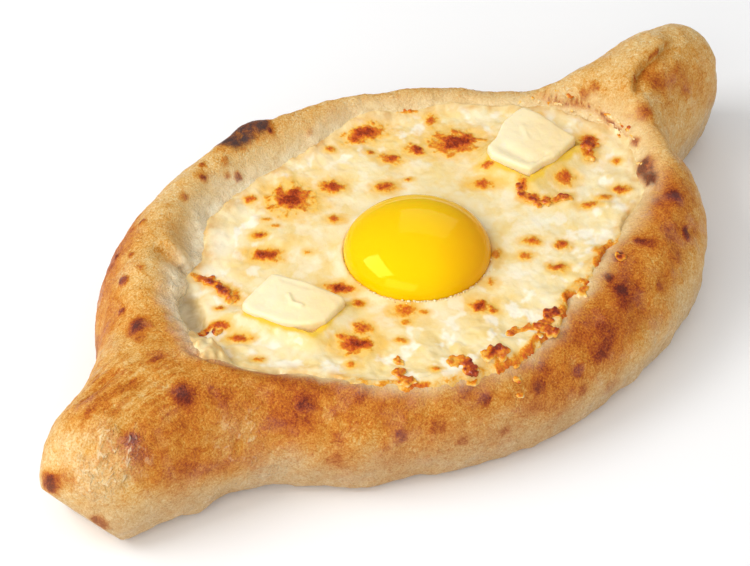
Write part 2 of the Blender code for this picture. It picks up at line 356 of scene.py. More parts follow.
# How brown the oven made each stretch of the crust: a path along it, its reach and its level.
BROWNING = [
    ([(-110, 8, 37), (-98, 10, 37), (-89, 20, 33)], 9, 0.36),
    ([(-116, 4.5, 35), (-108, 3, 37.5)], 5, 0.60),
    ([(-106, 1, 38), (-98, -2, 38), (-88, -6, 37)], 8, 0.47),
    ([(-121, 2, 31), (-126, 4, 20)], 9, 0.22),
    ([(-120, -7, 26), (-122, -6, 12)], 9, 0.28),
    ([(-108, -13, 30), (-100, -14, 31)], 8, 0.51),
    ([(-121, -1, 28), (-117, -6, 30)], 5, 0.47),
    ([(-114, -15, 12), (-98, -19, 10), (-88, -21, 8), (-72, -32, 7)], 9, 0.30),
    ([(-100, -17, 21), (-84, -22, 20)], 8, 0.49),
    ([(-84, -7, 37), (-76, -13, 34)], 8, 0.44),
    ([(-72, -21, 31), (-62, -31, 29), (-55, -37, 28)], 9, 0.62),
    ([(-64, -38, 20), (-50, -49, 16)], 8, 0.49),
    ([(-52, -40, 28), (-36, -50, 27)], 8, 0.54),
    ([(-30, -54, 26), (-12, -58, 27), (-2, -60, 27)], 8, 0.56),
    ([(-56, -47, 11), (-36, -57, 9), (-12, -66, 7), (12, -69, 8)], 9, 0.35),
    ([(-34, -57, 19), (-12, -63, 19), (6, -66, 19)], 8, 0.50),
    ([(11, -61, 27), (28, -60, 28)], 9, 0.66),
    ([(20, -53, 31), (38, -50, 31), (52, -44, 32)], 8, 0.50),
    ([(36, -59, 28), (53, -51, 31), (64, -41, 33)], 7, 0.57),
    ([(20, -69, 13), (42, -65, 13), (60, -56, 14)], 8, 0.26),
    ([(62, -54, 24), (70, -46, 25), (76, -34, 25)], 7, 0.36),
    ([(68, -27, 33), (74, -20, 36)], 6, 0.31),
    ([(80, -16, 36), (80, -24, 28)], 7, 0.26),
    ([(82, -3, 41), (92, 3, 42)], 7, 0.25),
    ([(97, -1, 43), (110, -3, 43)], 7, 0.20),
    ([(94, -11, 37), (104, -12, 35)], 8, 0.44),
    ([(110, -10, 35), (114, -12, 26)], 7, 0.40),
    ([(118, -10, 30), (124, -4, 24)], 7, 0.24),
    ([(96, -16, 24), (106, -17, 16)], 7, 0.26),
    ([(76, 10, 37), (68, 24, 37)], 8, 0.24),
    ([(66, 30, 37), (46, 45, 37), (30, 54, 37)], 10, 0.27),
    ([(20, 57, 37), (4, 58, 38)], 10, 0.30),
    ([(-20, 56, 37), (-40, 51, 37)], 8, 0.20),
    ([(-54, 44, 38), (-66, 34, 37)], 8, 0.29),
    ([(-75, 24, 37), (-81, 13, 37)], 7, 0.42),
    ([(-60, 52, 28), (-78, 38, 26)], 9, 0.56),
    ([(-40, 62, 26), (0, 70, 24), (40, 62, 24), (70, 36, 24)], 12, 0.34),
    ([(90, 14, 30), (110, 10, 26)], 10, 0.34),
    ([(-100, 16, 26), (-116, 12, 24)], 8, 0.36),
]

# Dark spots and blisters: place, radius, how dark, how charred, and how far it stands up.
SPOTS = [
    ((-83.4, 19.7, 36.8), 4.6, 0.66, 0.50, 0.8),
    ((-86, 15, 36), 3.0, 0.25, 0.20, 0.2),
    ((-81, 28.9, 33.7), 2.0, 0.42, 0.15, 0.4),
    ((-127, 5, 19.5), 4.0, 1.00, 0.35, 0.3),
    ((-125, 1, 23), 4.0, 0.34, 0.10, 0.3),
    ((-122.7, -8, 11), 3.4, 0.80, 0.15, 0.0),
    ((-110.6, -8.6, 33), 3.6, 0.30, 0.10, 0.2),
    ((-91.3, -8, 36.4), 4.4, 0.60, 0.12, 0.3),
    ((-89, 6, 38), 4.5, 0.26, 0.10, 0.0),
    ((-74.3, 36.4, 36.2), 2.6, 0.52, 0.25, 0.9),
    ((-55.5, 49.7, 37.1), 1.9, 0.48, 0.25, 0.7),
    ((-28, 55.2, 37.9), 1.8, 0.40, 0.10, 0.4),
    ((-31.3, 51.4, 37.5), 1.8, 0.48, 0.20, 0.4),
    ((-21.5, 52.6, 37.2), 2.2, 0.34, 0.05, 0.3),
    ((-20.6, 48.7, 33.1), 2.2, 0.58, 0.00, 0.4),
    ((-23.5, 49.5, 35), 1.8, 0.48, 0.00, 0.3),
    ((-2.5, 53.8, 36.9), 1.4, 0.60, 0.20, 0.4),
    ((7.6, 49.1, 33), 1.8, 0.28, 0.0, 0.3),
    ((-40.3, 49, 37.3), 2.2, 0.44, 0.25, 0.4),
    ((-31, 52, 38), 3.4, 0.26, 0.05, 0.4),
    ((-66.6, 41.5, 37.1), 1.4, 0.32, 0.10, 0.5),
    ((-66.8, 47.6, 32.5), 1.6, 0.30, 0.05, 0.6),
    ((-68.7, 34.9, 38.2), 1.5, 0.42, 0.20, 0.5),
    ((-46.9, 48.5, 38.7), 1.3, 0.28, 0.05, 0.3),
    ((26, -57, 29.5), 6.5, 0.24, 0.20, 0.2),
    ((12, -62, 26), 4.5, 0.20, 0.12, 0.1),
    ((64.9, -28.8, 32.6), 4.8, 0.95, 0.08, 1.0),
    ((62.6, -32.6, 32.8), 3.2, 0.66, 0.00, 0.6),
    ((61.2, -35, 33.3), 2.8, 0.58, 0.05, 0.6),
    ((60.6, -44, 34), 3.2, 0.50, 0.30, 0.6),
    ((71.5, -19.7, 32.8), 2.6, 0.54, 0.00, 0.4),
    ((41.2, -47.9, 31.3), 2.4, 0.34, 0.10, 0.3),
    ((50, -51, 31), 5.5, 0.16, 0.15, 0.1),
    ((7, -65, 23), 3.8, 0.30, 0.18, 0.1),
    ((-1, -65, 22), 2.8, 0.26, 0.15, 0.0),
    ((9, -68, 11), 3.5, 0.22, 0.08, 0.0),
    ((-2, -67, 16), 3.0, 0.22, 0.05, 0.0),
    ((-14, -62, 23), 3.4, 0.42, 0.50, 0.3),
    ((-29, -56, 24), 3.0, 0.26, 0.12, 0.0),
    ((-42, -52, 21), 3.2, 0.30, 0.12, 0.0),
    ((-51, -47, 20), 3.0, 0.28, 0.10, 0.0),
    ((-37, -56, 15), 2.4, 0.24, 0.08, 0.0),
    ((-26, -61, 14), 2.2, 0.24, 0.08, 0.0),
    ((-71, -28, 26), 10.0, 0.20, 0.0, 0.3),
    ((-67, -28, 30), 3.2, 0.26, 0.15, 0.6),
    ((-81, -18, 31), 6.5, 0.08, 0.0, 0.0),
    ((-53, -36, 30), 3.4, 0.26, 0.10, 0.3),
    ((-32, -52, 27), 3.4, 0.22, 0.10, 0.3),
    ((100, -11, 36.5), 5.0, 0.24, 0.02, 0.0),
    ((90.7, -10.4, 39.4), 4.6, 0.32, 0.08, 0.0),
    ((79.5, -16.5, 37.6), 3.6, 0.40, 0.08, 0.0),
    ((101.7, -13.6, 31.3), 3.2, 0.30, 0.08, 0.0),
    ((75.6, 2.9, 35.8), 2.8, 0.42, 0.10, 0.4),
    ((77.8, 1.8, 37.2), 2.6, 0.36, 0.10, 0.4),
    ((72, 14, 36), 2.4, 0.34, 0.05, 0.4),
    ((56.4, -52.7, 27.8), 2.8, 0.40, 0.45, 0.3),
    ((33.2, -48, 30.5), 2.2, 0.60, 0.20, 0.5),
    ((25.6, -51.1, 29.9), 2.0, 0.45, 0.15, 0.3),
    ((24.6, -56.4, 29.2), 2.8, 0.40, 0.15, 0.3),
    ((42.8, -50.5, 31.2), 3.0, 0.26, 0.05, 0.3),
    ((48, -57, 27), 3.4, 0.24, 0.10, 0.2),
    ((36, -60, 26), 3.0, 0.22, 0.10, 0.2),
]

# The charred blister on the far rim.
CHAR_PATH = [(-14.5, 58.5, 38.3), (-11, 59.3, 38.5), (-7, 59.2, 38.6), (-4.5, 58.9, 38.5)]

# Folds in the dough: path, how far its left side stands over its right, groove's depth and width, browning.
# The browning along a fold is partly real and partly painted shade, full on the side under the lip.
CREASES = [
    ([(80, -12, 40), (84, -7.5, 42), (91, -5.5, 43), (98, -5, 43.5), (107, -3.5, 43.5)], 2.8, 1, 1.2, 0.50),
    ([(-54.8, 28.5, 31), (-56, 32, 33.5), (-58, 36.5, 36), (-58.7, 40.5, 38)], -2.6, 0.8, 1.0, 0.04),
    ([(69.2, 18, 31.5), (69, 12.5, 32.5), (70.4, 8.2, 32.5), (73.5, 3.2, 33), (74.9, -2.2, 33.5),
      (74.4, -7.7, 32), (73.4, -13.6, 32), (71.4, -20.8, 32.6)], 0.9, 0.3, 0.8, 0.55),
    ([(-69, -12, 33), (-74, -9, 35), (-78, -4, 36), (-80, 1, 36.5), (-79.5, 7, 36.5)], 0.8, 0.5, 1.1, 0.22),
    ([(-114, 9.5, 35.5), (-104, 11.5, 36), (-96, 11, 36.5)], 0.5, 0.9, 1.3, 0.20),
    ([(-118, 4, 35), (-106, 5, 38), (-94, 4, 38.5)], 0.2, 0.5, 1.2, 0.16),
    ([(-104, -16, 24), (-92, -20, 18), (-80, -26, 14)], 0.2, 0.4, 1.5, 0.16),
    ([(56, -54, 29), (60, -52, 27), (62, -51, 24)], 0.2, 0.7, 1.0, 0.16),
    ([(76, -8, 34), (78, -18, 37), (82, -24, 31)], 0.2, 0.5, 1.1, 0.16),
]

# How far pale, moist dough or a film of cheese reaches over the rim: direction in degrees, and width.
MOIST_WIDTHS = [
    (0, 5.0), (12, 6.5), (30, 5.5), (60, 4.0), (75, 6.0), (90, 7.0), (120, 7.5), (140, 9.0), (150, 7.0),
    (158, 3.0), (172, 3.0), (182, 3.0), (193, 3.5), (204, 4.0), (213, 4.5), (235, 5.0), (262, 4.5),
    (275, 4.5), (287, 5.0), (300, 5.5), (312, 6.0), (322, 8.0), (332, 9.5), (348, 7.0), (360, 5.0),
]

# Where the glossy skin is loose: place, radius and strength.
WRINKLES = [
    ((-73, 3, 33), 12, 1.3), ((-116, -7, 30), 13, 1.8), ((-84, -20, 24), 12, 0.7), ((-66, 24, 32), 10, 0.8),
    ((-121, -5, 24), 10, 1.0), ((-78, -26, 12), 11, 0.7),
]

# The middles of the left and right necks, where the ends were twisted.
LEFT_NECK = (-102, 6, 36)
RIGHT_NECK = (80, -18, 35)


def above_filling(points):
    """1 on the rim, above the filling's level, and 0 on the low parts of the crust."""
    return smooth(20, 26, points[:, 2])


def pulled_dough(points):
    """Fine ridges where the ends were twisted: along the bread on the left neck, across it on the right."""
    left = near_point(points, LEFT_NECK, 26)
    ridges = left * waves(points / (9.0, 1.5, 1.7), 1.0, 2, seed=51)
    right = near_point(points, RIGHT_NECK, 17)
    return ridges + right * waves(points / (1.5, 8.0, 4.0), 1.0, 2, seed=52)


def wrinkled(points):
    """1 where the glossy skin is wrinkled: on the left handle and in the folds inside the left end."""
    mask = sum(share * near_point(points, place, radius) for place, radius, share in WRINKLES)
    return np.clip(mask, 0, 1) * smooth(-0.6, -0.1, waves(points, 7, 2, seed=54))


def crinkles(points):
    """Thin wrinkles where the glossy skin is loose."""
    ridges = 1 - 2.4 * np.abs(waves(points * (0.5, 1, 1), 3.2, 2, seed=53))
    return wrinkled(points) * np.clip(ridges, 0, 1)


def past_cheese(points):
    """How far each point of the crust lies past the cheese's edge, and its direction in degrees."""
    out, direction = outside_opening(points)
    edge = np.maximum(read_off(CHEESE_RUNS, direction)[0], -read_off(LEANS, direction)[0])
    return out - edge, direction


def clinging_cheese(points):
    """Where lumps and strands of cheese cling to the wall at the far left, thickest near the filling."""
    past, direction = past_cheese(points)
    side = smooth(112, 128, direction) * smooth(182, 172, direction)
    return side * smooth(7.5, 2.0, past) * above_filling(points)


def near_fold(points, path):
    """Distance to a fold, the side of it that each point is on, and how strong the fold is there."""
    away, side, along = near_path(points, path)
    return away, side, smooth(0.0, 0.2, along) * smooth(1.0, 0.8, along)


def crust_relief(points):
    """How far each point of the crust moves out, in millimetres."""
    rise = sum(rise * waves(points, size, octaves, seed) for rise, size, octaves, seed in CRUST_WAVES)
    rise += 0.34 * pulled_dough(points)
    rise += 0.65 * crinkles(points)
    strands = grains(points / (1.0, 1.0, 2.2), 3.4, seed=56) - 0.3 + 0.6 * waves(points, 5, 2, seed=57)
    rise += 0.9 * clinging_cheese(points) * strands
    low = smooth(14, 3, points[:, 2])
    rise += 1.1 * low * waves(points, 10, 2, seed=4)
    away = from_path(points, PIT_PATH) + 0.8 * waves(points, 5, 2, seed=15)
    rise -= 1.8 * (1 - smooth(0.5, 5.0, away))
    for place, radius, _, _, lift in SPOTS:
        rise += lift * near_point(points, place, radius)
    rise += 1.2 * (1 - smooth(0, 8, from_path(points, CHAR_PATH)))
    for path, lift, depth, width, _ in CREASES:
        away, side, ends = near_fold(points, path)
        rise += ends * lift * 0.5 * np.clip(side * away / 0.8, -1, 1) * (1 - smooth(1, 6, away))
        rise -= ends * depth * bell(away, width)
    return rise


def lean_in(points):
    """Leans the rim's inner side in over the opening, so that it slopes down to the cheese."""
    out, direction = outside_opening(points)
    lean, rim = read_off(LEANS, direction)
    part = np.clip(1 - out / rim, 0, 1)
    high = smooth(12, 22, points[:, 2])
    moved = drawn_in(points, lean * np.where(out > 0, part, 1.0) * high)
    foot = settings().cheese.level / MM - 0.6
    moved[:, 2] -= np.maximum(points[:, 2] - foot, 0) * part ** 2 * smooth(0, 3, lean)
    return moved


def slant_tip(points):
    """Cuts the left end's underside back to its slant."""
    facing, out = np.array(TIP_SLANT[0]), TIP_SLANT[1]
    beyond = points @ facing - out
    return points - np.maximum(beyond, 0)[:, None] * 0.92 * facing


def painted_crust_shade(points):
    """How much painted shade each point gets: low on the sides, in the pit and in two hollows."""
    low = smooth(24, 7, points[:, 2] + 4 * waves(points, 14, 2, seed=16))
    pit = 1 - smooth(3.0, 6.0, from_path(points, PIT_PATH))
    hollow = 0.6 * near_point(points, (-47, 36, 31), 12) + near_point(points, (67, 4, 31), 7)
    return 0.85 * low + 0.6 * pit + 0.4 * hollow


def crust_browning(points):
    """How brown each point is baked, from 0 for pale dough to 1 for nearly burnt."""
    total = np.full(len(points), 0.02)
    brown = total * 0.34
    drift = 3.0 * waves(points, 12, 2, seed=5)
    for path, reach, level in BROWNING:
        weight = bell(np.maximum(from_path(points, path) + drift, 0), reach)
        total += weight
        brown += weight * level
    brown /= total
    brown += 0.16 * waves(points, 14, 2, seed=17) * smooth(0.25, 0.5, brown)
    freckles = smooth(0.25, 0.62, waves(points, 5.0, 1, seed=8))
    brown += 0.14 * freckles * smooth(0.3, 0.5, brown)
    away = from_path(points, CHAR_PATH) + 1.2 * waves(points, 4, 2, seed=19)
    brown += 0.38 * (1 - smooth(3.0, 7.5, away))
    return brown


def spot_browning(points):
    """How much browner than the crust around it each point is: spots, and folds with painted shade."""
    brown = np.zeros(len(points))
    ragged = 0.9 + 0.6 * waves(points, 2.4, 2, seed=6)
    for place, radius, dark, _, _ in SPOTS:
        near = near_point(points, place, radius * 1.25)
        brown += dark * (smooth(0.15, 0.70, near * ragged) if radius < 3.1 else ragged * near)
    for path, lift, _, width, darker in CREASES:
        away, side, ends = near_fold(points, path)
        # Painted shade: the side that lies under a fold's lip gets the full darkening, the other side a
        # quarter.
        under = np.where(side * lift < 0, 1.0, 0.25)
        brown += darker * ends * under * bell(away, width * 2.0)
    return brown


def crust_char(points):
    """How charred each point is."""
    away = from_path(points, CHAR_PATH) + 1.2 * waves(points, 5, 2, seed=7)
    char = 2.2 * (1 - smooth(1.5, 5.5, away))
    for place, radius, _, burnt, _ in SPOTS:
        char += 0.8 * burnt * near_point(points, place, radius * 0.8)
    return char


def crust_moisture(points):
    """How much each point inside the rim is moist dough or filmed with cheese."""
    out, direction = outside_opening(points)
    width, = read_off(MOIST_WIDTHS, direction)
    ragged = out + read_off(LEANS, direction)[0]
    ragged = ragged + 1.6 * waves(points, 6, 2, seed=10) + 0.8 * waves(points, 2.0, 2, seed=12)
    return (1 - smooth(0.1 * width, 1.5 * width, ragged)) * above_filling(points)


def crust_film(points):
    """How much of a whitish film the cheese has left on each point just past it, most at the far left."""
    past, direction = past_cheese(points)
    past = past + 2.0 * waves(points, 5, 2, seed=20)
    far = smooth(45, 75, direction) * smooth(185, 165, direction)
    left = far * smooth(100, 125, direction)
    share = 0.12 + 0.33 * far + 0.40 * left
    return share * smooth(5.0 + 2.5 * left, 0.0, past) * above_filling(points)


def crust_patterns(tree, place, pulled):
    """The crust's patterns by name: how its browning varies, pores, streaks where it was pulled, ridges."""
    cells = add(tree, "ShaderNodeTexVoronoi", {"Vector": place, "Scale": per(2.6), "Randomness": 1.0})
    along = add(tree, "ShaderNodeMapping", {"Vector": place, "Scale": (0.14, 1.0, 1.0)})
    streak = add(tree, "ShaderNodeTexNoise", {"Vector": along, "Scale": per(1.5), "Detail": 3.0})
    slanting = add(tree, "ShaderNodeMapping", {
        "Vector": place, "Rotation": (0, 0, 0.5), "Scale": (3.2, 1.0, 1.4),
    }, vector_type="TEXTURE")
    return {
        "blotch": add(tree, "ShaderNodeTexNoise", {
            "Vector": place, "Scale": per(9), "Detail": 4.0, "Roughness": 0.6, "Distortion": 0.5,
        }),
        "mottle": add(tree, "ShaderNodeTexNoise", {
            "Vector": place, "Scale": per(2.2), "Detail": 5.0, "Roughness": 0.7, "Distortion": 0.6,
        }),
        "grain": add(tree, "ShaderNodeTexNoise", {
            "Vector": place, "Scale": per(0.55), "Detail": 3.0, "Roughness": 0.7,
        }),
        "pores": add(tree, "ShaderNodeMapRange", {
            "Value": cells, "From Min": 0.05, "From Max": 0.16, "To Min": 1.0, "To Max": 0.0,
        }),
        "streaks": add(tree, "ShaderNodeMath", {0: pulled, 1: streak}, operation="MULTIPLY"),
        "ridge": add(tree, "ShaderNodeTexNoise", {
            "Vector": slanting, "Scale": per(1.7), "Detail": 2.0, "Distortion": 0.8,
        }),
    }


def crust_bake(tree, layers, patterns):
    """How brown the crust is: what was painted, streaked where it was pulled, varied by its patterns."""
    look = settings().crust
    pull = add(tree, "ShaderNodeMath", {
        0: layers["pulled"], 1: -0.5, 2: patterns["streaks"],
    }, operation="MULTIPLY_ADD")
    bake = add(tree, "ShaderNodeMath", {0: pull, 1: 0.9, 2: layers["brown"]}, operation="MULTIPLY_ADD")
    for name, share in (("blotch", look.blotches), ("mottle", look.mottle), ("grain", look.grain)):
        part = add(tree, "ShaderNodeMath", {
            0: patterns[name], 1: share, 2: -share / 2,
        }, operation="MULTIPLY_ADD")
        bake = add(tree, "ShaderNodeMath", {0: bake, 1: part}, operation="ADD")
    return bake


def crust_colour(tree, layers, patterns):
    """Baked dough, under painted shade with its pores, moist dough, the cheese's film, char and pale flakes
    painted as glints.
    """
    look = settings().crust
    bake = crust_bake(tree, layers, patterns)
    mottle = patterns["mottle"]
    colour = add(tree, "ShaderNodeValToRGB", {"Fac": bake}, stops=[
        (0.00, "#f8e6ba"), (1.00, "#661e0a"), (0.13, "#f0cf92"), (0.27, "#e8b76a"), (0.41, "#dc993b"),
        (0.55, "#ce7a1d"), (0.69, "#b85c13"), (0.83, "#983a10"),
    ])
    # Painted shade: a greyer, darker dough colour for the low sides, the pit and the hollows.
    shadowed = add(tree, "ShaderNodeValToRGB", {"Fac": bake}, stops=[
        (0.05, "#dfc79e"), (0.75, "#a8693a"), (0.30, "#cdac7e"), (0.50, "#c09360"),
    ])
    # The dark pores show only where the painted shade lies.
    pored = add(tree, "ShaderNodeMath", {0: patterns["pores"], 1: layers["dull"]}, operation="MULTIPLY")
    pored = add(tree, "ShaderNodeMath", {0: pored, 1: 0.4}, operation="MULTIPLY")
    damp = add(tree, "ShaderNodeValToRGB", {"Fac": mottle}, stops=[
        (0.32, "#d8b478"), (0.70, "#f9e8b8"), (0.52, "#eed297"),
    ])
    patchy = add(tree, "ShaderNodeMapRange", {
        "Value": mottle, "From Min": 0.36, "From Max": 0.56, "To Min": 0.50, "To Max": 1.0,
    })
    patchy = add(tree, "ShaderNodeMath", {0: layers["film"], 1: patchy}, operation="MULTIPLY")
    burnt = add(tree, "ShaderNodeMath", {0: mottle, 1: 2.4, 2: -0.75}, operation="MULTIPLY_ADD")
    burnt = add(tree, "ShaderNodeMath", {0: layers["char"], 1: burnt}, operation="MULTIPLY")
    burnt = add(tree, "ShaderNodeMath", {
        0: layers["char"], 1: 0.35, 2: burnt,
    }, operation="MULTIPLY_ADD", use_clamp=True)
    # Pale flakes of glaze on the wrinkles, partly real flakes and partly a painted highlight standing for
    # glints on the wet glaze.
    loose = add(tree, "ShaderNodeMapRange", {
        "Value": patterns["ridge"], "From Min": 0.58, "From Max": 0.66, "To Max": 0.60,
    })
    loose = add(tree, "ShaderNodeMath", {0: loose, 1: layers["crinkle"]}, operation="MULTIPLY")
    for share, over in (
        (layers["dull"], shadowed), (pored, (*look.pore_colour, 1)),
        (layers["moist"], damp), (patchy, (*look.film_colour, 1)),
        (burnt, (*look.char_colour, 1)), (loose, (*look.flake_and_glint_colour, 1)),
    ):
        colour = add(tree, "ShaderNodeMix", {0: share, 6: colour, 7: over}, out=2, data_type="RGBA")
    return colour


def crust_bump(tree, layers, patterns):
    """Streaks and mottle, then wrinkles, then a fine grain that is calmer where the dough is moist."""
    coarse = add(tree, "ShaderNodeMath", {
        0: patterns["streaks"], 1: 0.8, 2: patterns["mottle"],
    }, operation="MULTIPLY_ADD")
    crinkle = add(tree, "ShaderNodeMath", {
        0: layers["crinkle"], 1: patterns["ridge"],
    }, operation="MULTIPLY")
    calm = add(tree, "ShaderNodeMath", {0: layers["moist"], 1: -0.6, 2: 1.0}, operation="MULTIPLY_ADD")
    fine = add(tree, "ShaderNodeMath", {0: patterns["grain"], 1: calm}, operation="MULTIPLY")
    bump = add(tree, "ShaderNodeBump", {"Height": coarse, "Strength": 1.0, "Distance": 0.0006})
    for height, distance in ((crinkle, 0.0012), (fine, 0.0004)):
        bump = add(tree, "ShaderNodeBump", {
            "Height": height, "Strength": 1.0, "Distance": distance, "Normal": bump,
        })
    return bump


def crust_material():
    """Wheat dough, egg washed and oven baked: satin, golden to brown, in fine mottles and blisters."""
    material, tree, place = new_material("Baked wheat crust")
    layers = {
        name: add(tree, "ShaderNodeAttribute", out="Fac", attribute_name=name)
        for name in ("brown", "char", "moist", "wet", "pulled", "dull", "crinkle", "film")
    }
    patterns = crust_patterns(tree, place, layers["pulled"])
    bump = crust_bump(tree, layers, patterns)
    rough = add(tree, "ShaderNodeMapRange", {
        "Value": patterns["mottle"], "From Min": 0.3, "From Max": 0.7, "To Min": 0.42, "To Max": 0.62,
    })
    shine = add(tree, "ShaderNodeMath", {0: layers["wet"], 1: -0.24, 2: rough}, operation="MULTIPLY_ADD")
    glaze = add(tree, "ShaderNodeMath", {0: layers["wet"], 1: 1.0, 2: 0.04}, operation="MULTIPLY_ADD")
    surface = add(tree, "ShaderNodeBsdfPrincipled", {
        "Base Color": crust_colour(tree, layers, patterns), "Roughness": shine, "Normal": bump,
        "IOR": 1.45, "Specular IOR Level": 0.22, "Coat Weight": glaze, "Coat Roughness": 0.11,
        "Coat IOR": 1.7, "Coat Normal": bump,
        "Subsurface Weight": 0.05, "Subsurface Radius": (1.0, 0.5, 0.25), "Subsurface Scale": 0.0010,
    })
    add(tree, "ShaderNodeOutputMaterial", {"Surface": surface})
    return material


def make_crust():
    """The baked dough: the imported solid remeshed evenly, leant in, pushed, rippled and painted."""
    mesh = remeshed(merged_copy("crust"), settings().crust.voxel, smoothing=2)
    relax(mesh, 4)
    points = lean_in(points_of(mesh))
    move_points(mesh, points)
    normals = normals_of(mesh)
    for place, radius, push in PUSHES:
        points += near_point(points, place, radius)[:, None] * np.array(push)
    points += crust_relief(points)[:, None] * normals
    points = slant_tip(points)
    points[:, 2] = np.maximum(points[:, 2], 0.0)
    move_points(mesh, points)
    spots = spot_browning(points)
    moist = crust_moisture(points) * (1 - np.clip(1.6 * spots, 0, 0.9))
    glossy = smooth(0.15, 0.5, waves(points, 6, 2, seed=9))
    loose = wrinkled(points)
    paint(
        mesh,
        brown=crust_browning(points) + spots,
        char=crust_char(points),
        moist=0.92 * moist,
        wet=0.35 * moist + 0.35 * glossy + 0.8 * loose + 0.5 * clinging_cheese(points),
        film=crust_film(points) * (1 - np.clip(1.3 * spots, 0, 0.85)),
        pulled=near_point(points, LEFT_NECK, 28),
        # Painted shade: the low sides, the pit and the hollows are painted greyer and darker.
        dull=painted_crust_shade(points),
        crinkle=loose,
    )
    return mesh_piece("baked_crust", mesh, crust_material())


# ---------------------------------------------------------------- cheese

# Toasted patches on the cheese: middle, half-length, half-width, turn and how dark.
TOAST = [
    (37, 19, 8.0, 5.5, -40, 1.00), (-14, 34, 7.0, 6.5, -40, 0.95), (21, 40, 7.5, 3.5, -20, 0.90),
    (-42, -21, 5.5, 4.0, -45, 0.95), (-35, 22, 5.0, 2.6, -45, 0.95), (-2, 30, 3.8, 3.2, -45, 0.85),
    (19, 27, 3.4, 2.6, -45, 0.80), (27, 24.5, 3.2, 2.8, -60, 0.85), (9, 19, 3.6, 2.4, -30, 0.75),
    (65, -8, 3.2, 3.6, -45, 0.95), (60, -12, 2.6, 2.4, -45, 0.75), (48, -14.5, 3.2, 3.2, -45, 0.80),
    (35, 4, 3.2, 1.4, -45, 0.65), (29.5, 0.5, 4.2, 2.2, -45, 0.60), (-36, -18, 2.8, 2.2, -45, 0.90),
    (-24, -21, 4.0, 2.6, -45, 0.55), (-7.5, -34, 3.2, 2.6, -45, 0.95), (-30, -2.5, 4.6, 2.4, -45, 0.95),
    (36, -9, 1.6, 3.0, -45, 0.80), (34.5, -14, 3.0, 1.8, -60, 0.75), (37.5, -18, 3.0, 1.6, -45, 0.70),
    (41.5, -20, 2.6, 1.8, -30, 0.80), (44.5, -27, 3.6, 1.6, -30, 0.60), (49.5, -28, 2.4, 1.5, -30, 0.60),
    (55.5, -29, 3.0, 1.8, -45, 0.80), (37, 39, 3.6, 1.8, -45, 0.70), (39.5, 31, 1.8, 3.6, -45, 0.60),
    (9, 42, 2.0, 1.6, -45, 0.65), (16.5, 33, 2.0, 1.4, -45, 0.50), (-22, 42, 1.9, 1.9, -45, 0.65),
    (-31, 29, 2.0, 1.7, -45, 0.85), (-11, 19, 2.6, 1.8, -45, 0.60), (-26, 14.5, 1.6, 1.0, -45, 0.40),
    (-25, 32.5, 1.9, 1.1, -45, 0.40), (-25, 28.5, 1.9, 1.0, -45, 0.40), (16, 17, 1.6, 1.0, -45, 0.50),
    (21.5, -26, 2.8, 1.7, -45, 0.65), (16, -29, 2.2, 1.6, -45, 0.60), (26.5, -33, 2.3, 1.9, -45, 0.85),
    (18.5, -38.5, 2.6, 2.0, -45, 0.75), (-6.5, -38, 1.7, 1.3, -45, 0.60),
    (-32.5, -29, 2.0, 1.2, -45, 0.50), (-31, -10.5, 2.0, 1.9, -45, 0.70),
    (-48.5, -26, 2.0, 1.3, -45, 0.50), (-58.5, 14.5, 1.8, 1.2, -45, 0.65),
    (62.5, 10.5, 2.2, 1.2, -45, 0.60), (64.5, -19.3, 1.7, 1.3, -45, 0.55),
    (-34, -43, 1.7, 1.0, -45, 0.50), (-55, 29, 1.6, 1.1, -45, 0.50), (-53.5, 23.5, 3.8, 1.9, -65, 0.80),
    (-52.5, 18.5, 3.2, 2.2, -70, 0.90), (-53, 15, 2.6, 2.0, -60, 0.75), (-67, 12.5, 2.8, 1.4, -45, 0.85),
    (-63.5, 9.5, 3.2, 1.6, -55, 0.75), (-63, 2.5, 3.2, 1.8, -45, 0.75), (-65, -7, 2.0, 1.3, -45, 0.55),
    (10, -23.5, 1.6, 3.2, -45, 0.45), (1, -29.5, 2.0, 1.8, -45, 0.40),
    (-20.5, -25.5, 2.0, 1.2, -45, 0.40), (-27, -24.5, 2.0, 1.4, -45, 0.45),
]

# Corners of the seats in which the pats lie.
PAT_CORNERS = {
    "butter_front": [(-41.0, 13.0), (-56.0, 6.5), (-49.2, -11.7), (-33.5, -9.0)],
    "butter_back": [(61.5, 15.0), (51.5, 14.0), (37.0, 4.5), (39.0, -8.5), (61.5, -8.5)],
}


def outside_outline(points, corners):
    """Distance outside a straight-sided outline, less than 0 inside it."""
    ring = corners + corners[:1]
    away = from_path(flat(points), ring)
    inside = np.zeros(len(points), bool)
    for (ax, ay), (bx, by) in zip(ring[:-1], ring[1:]):
        crosses = (ay > points[:, 1]) != (by > points[:, 1])
        at = ax + (points[:, 1] - ay) / ((by - ay) or 1e-9) * (bx - ax)
        inside ^= crosses & (points[:, 0] < at)
    return np.where(inside, -away, away)


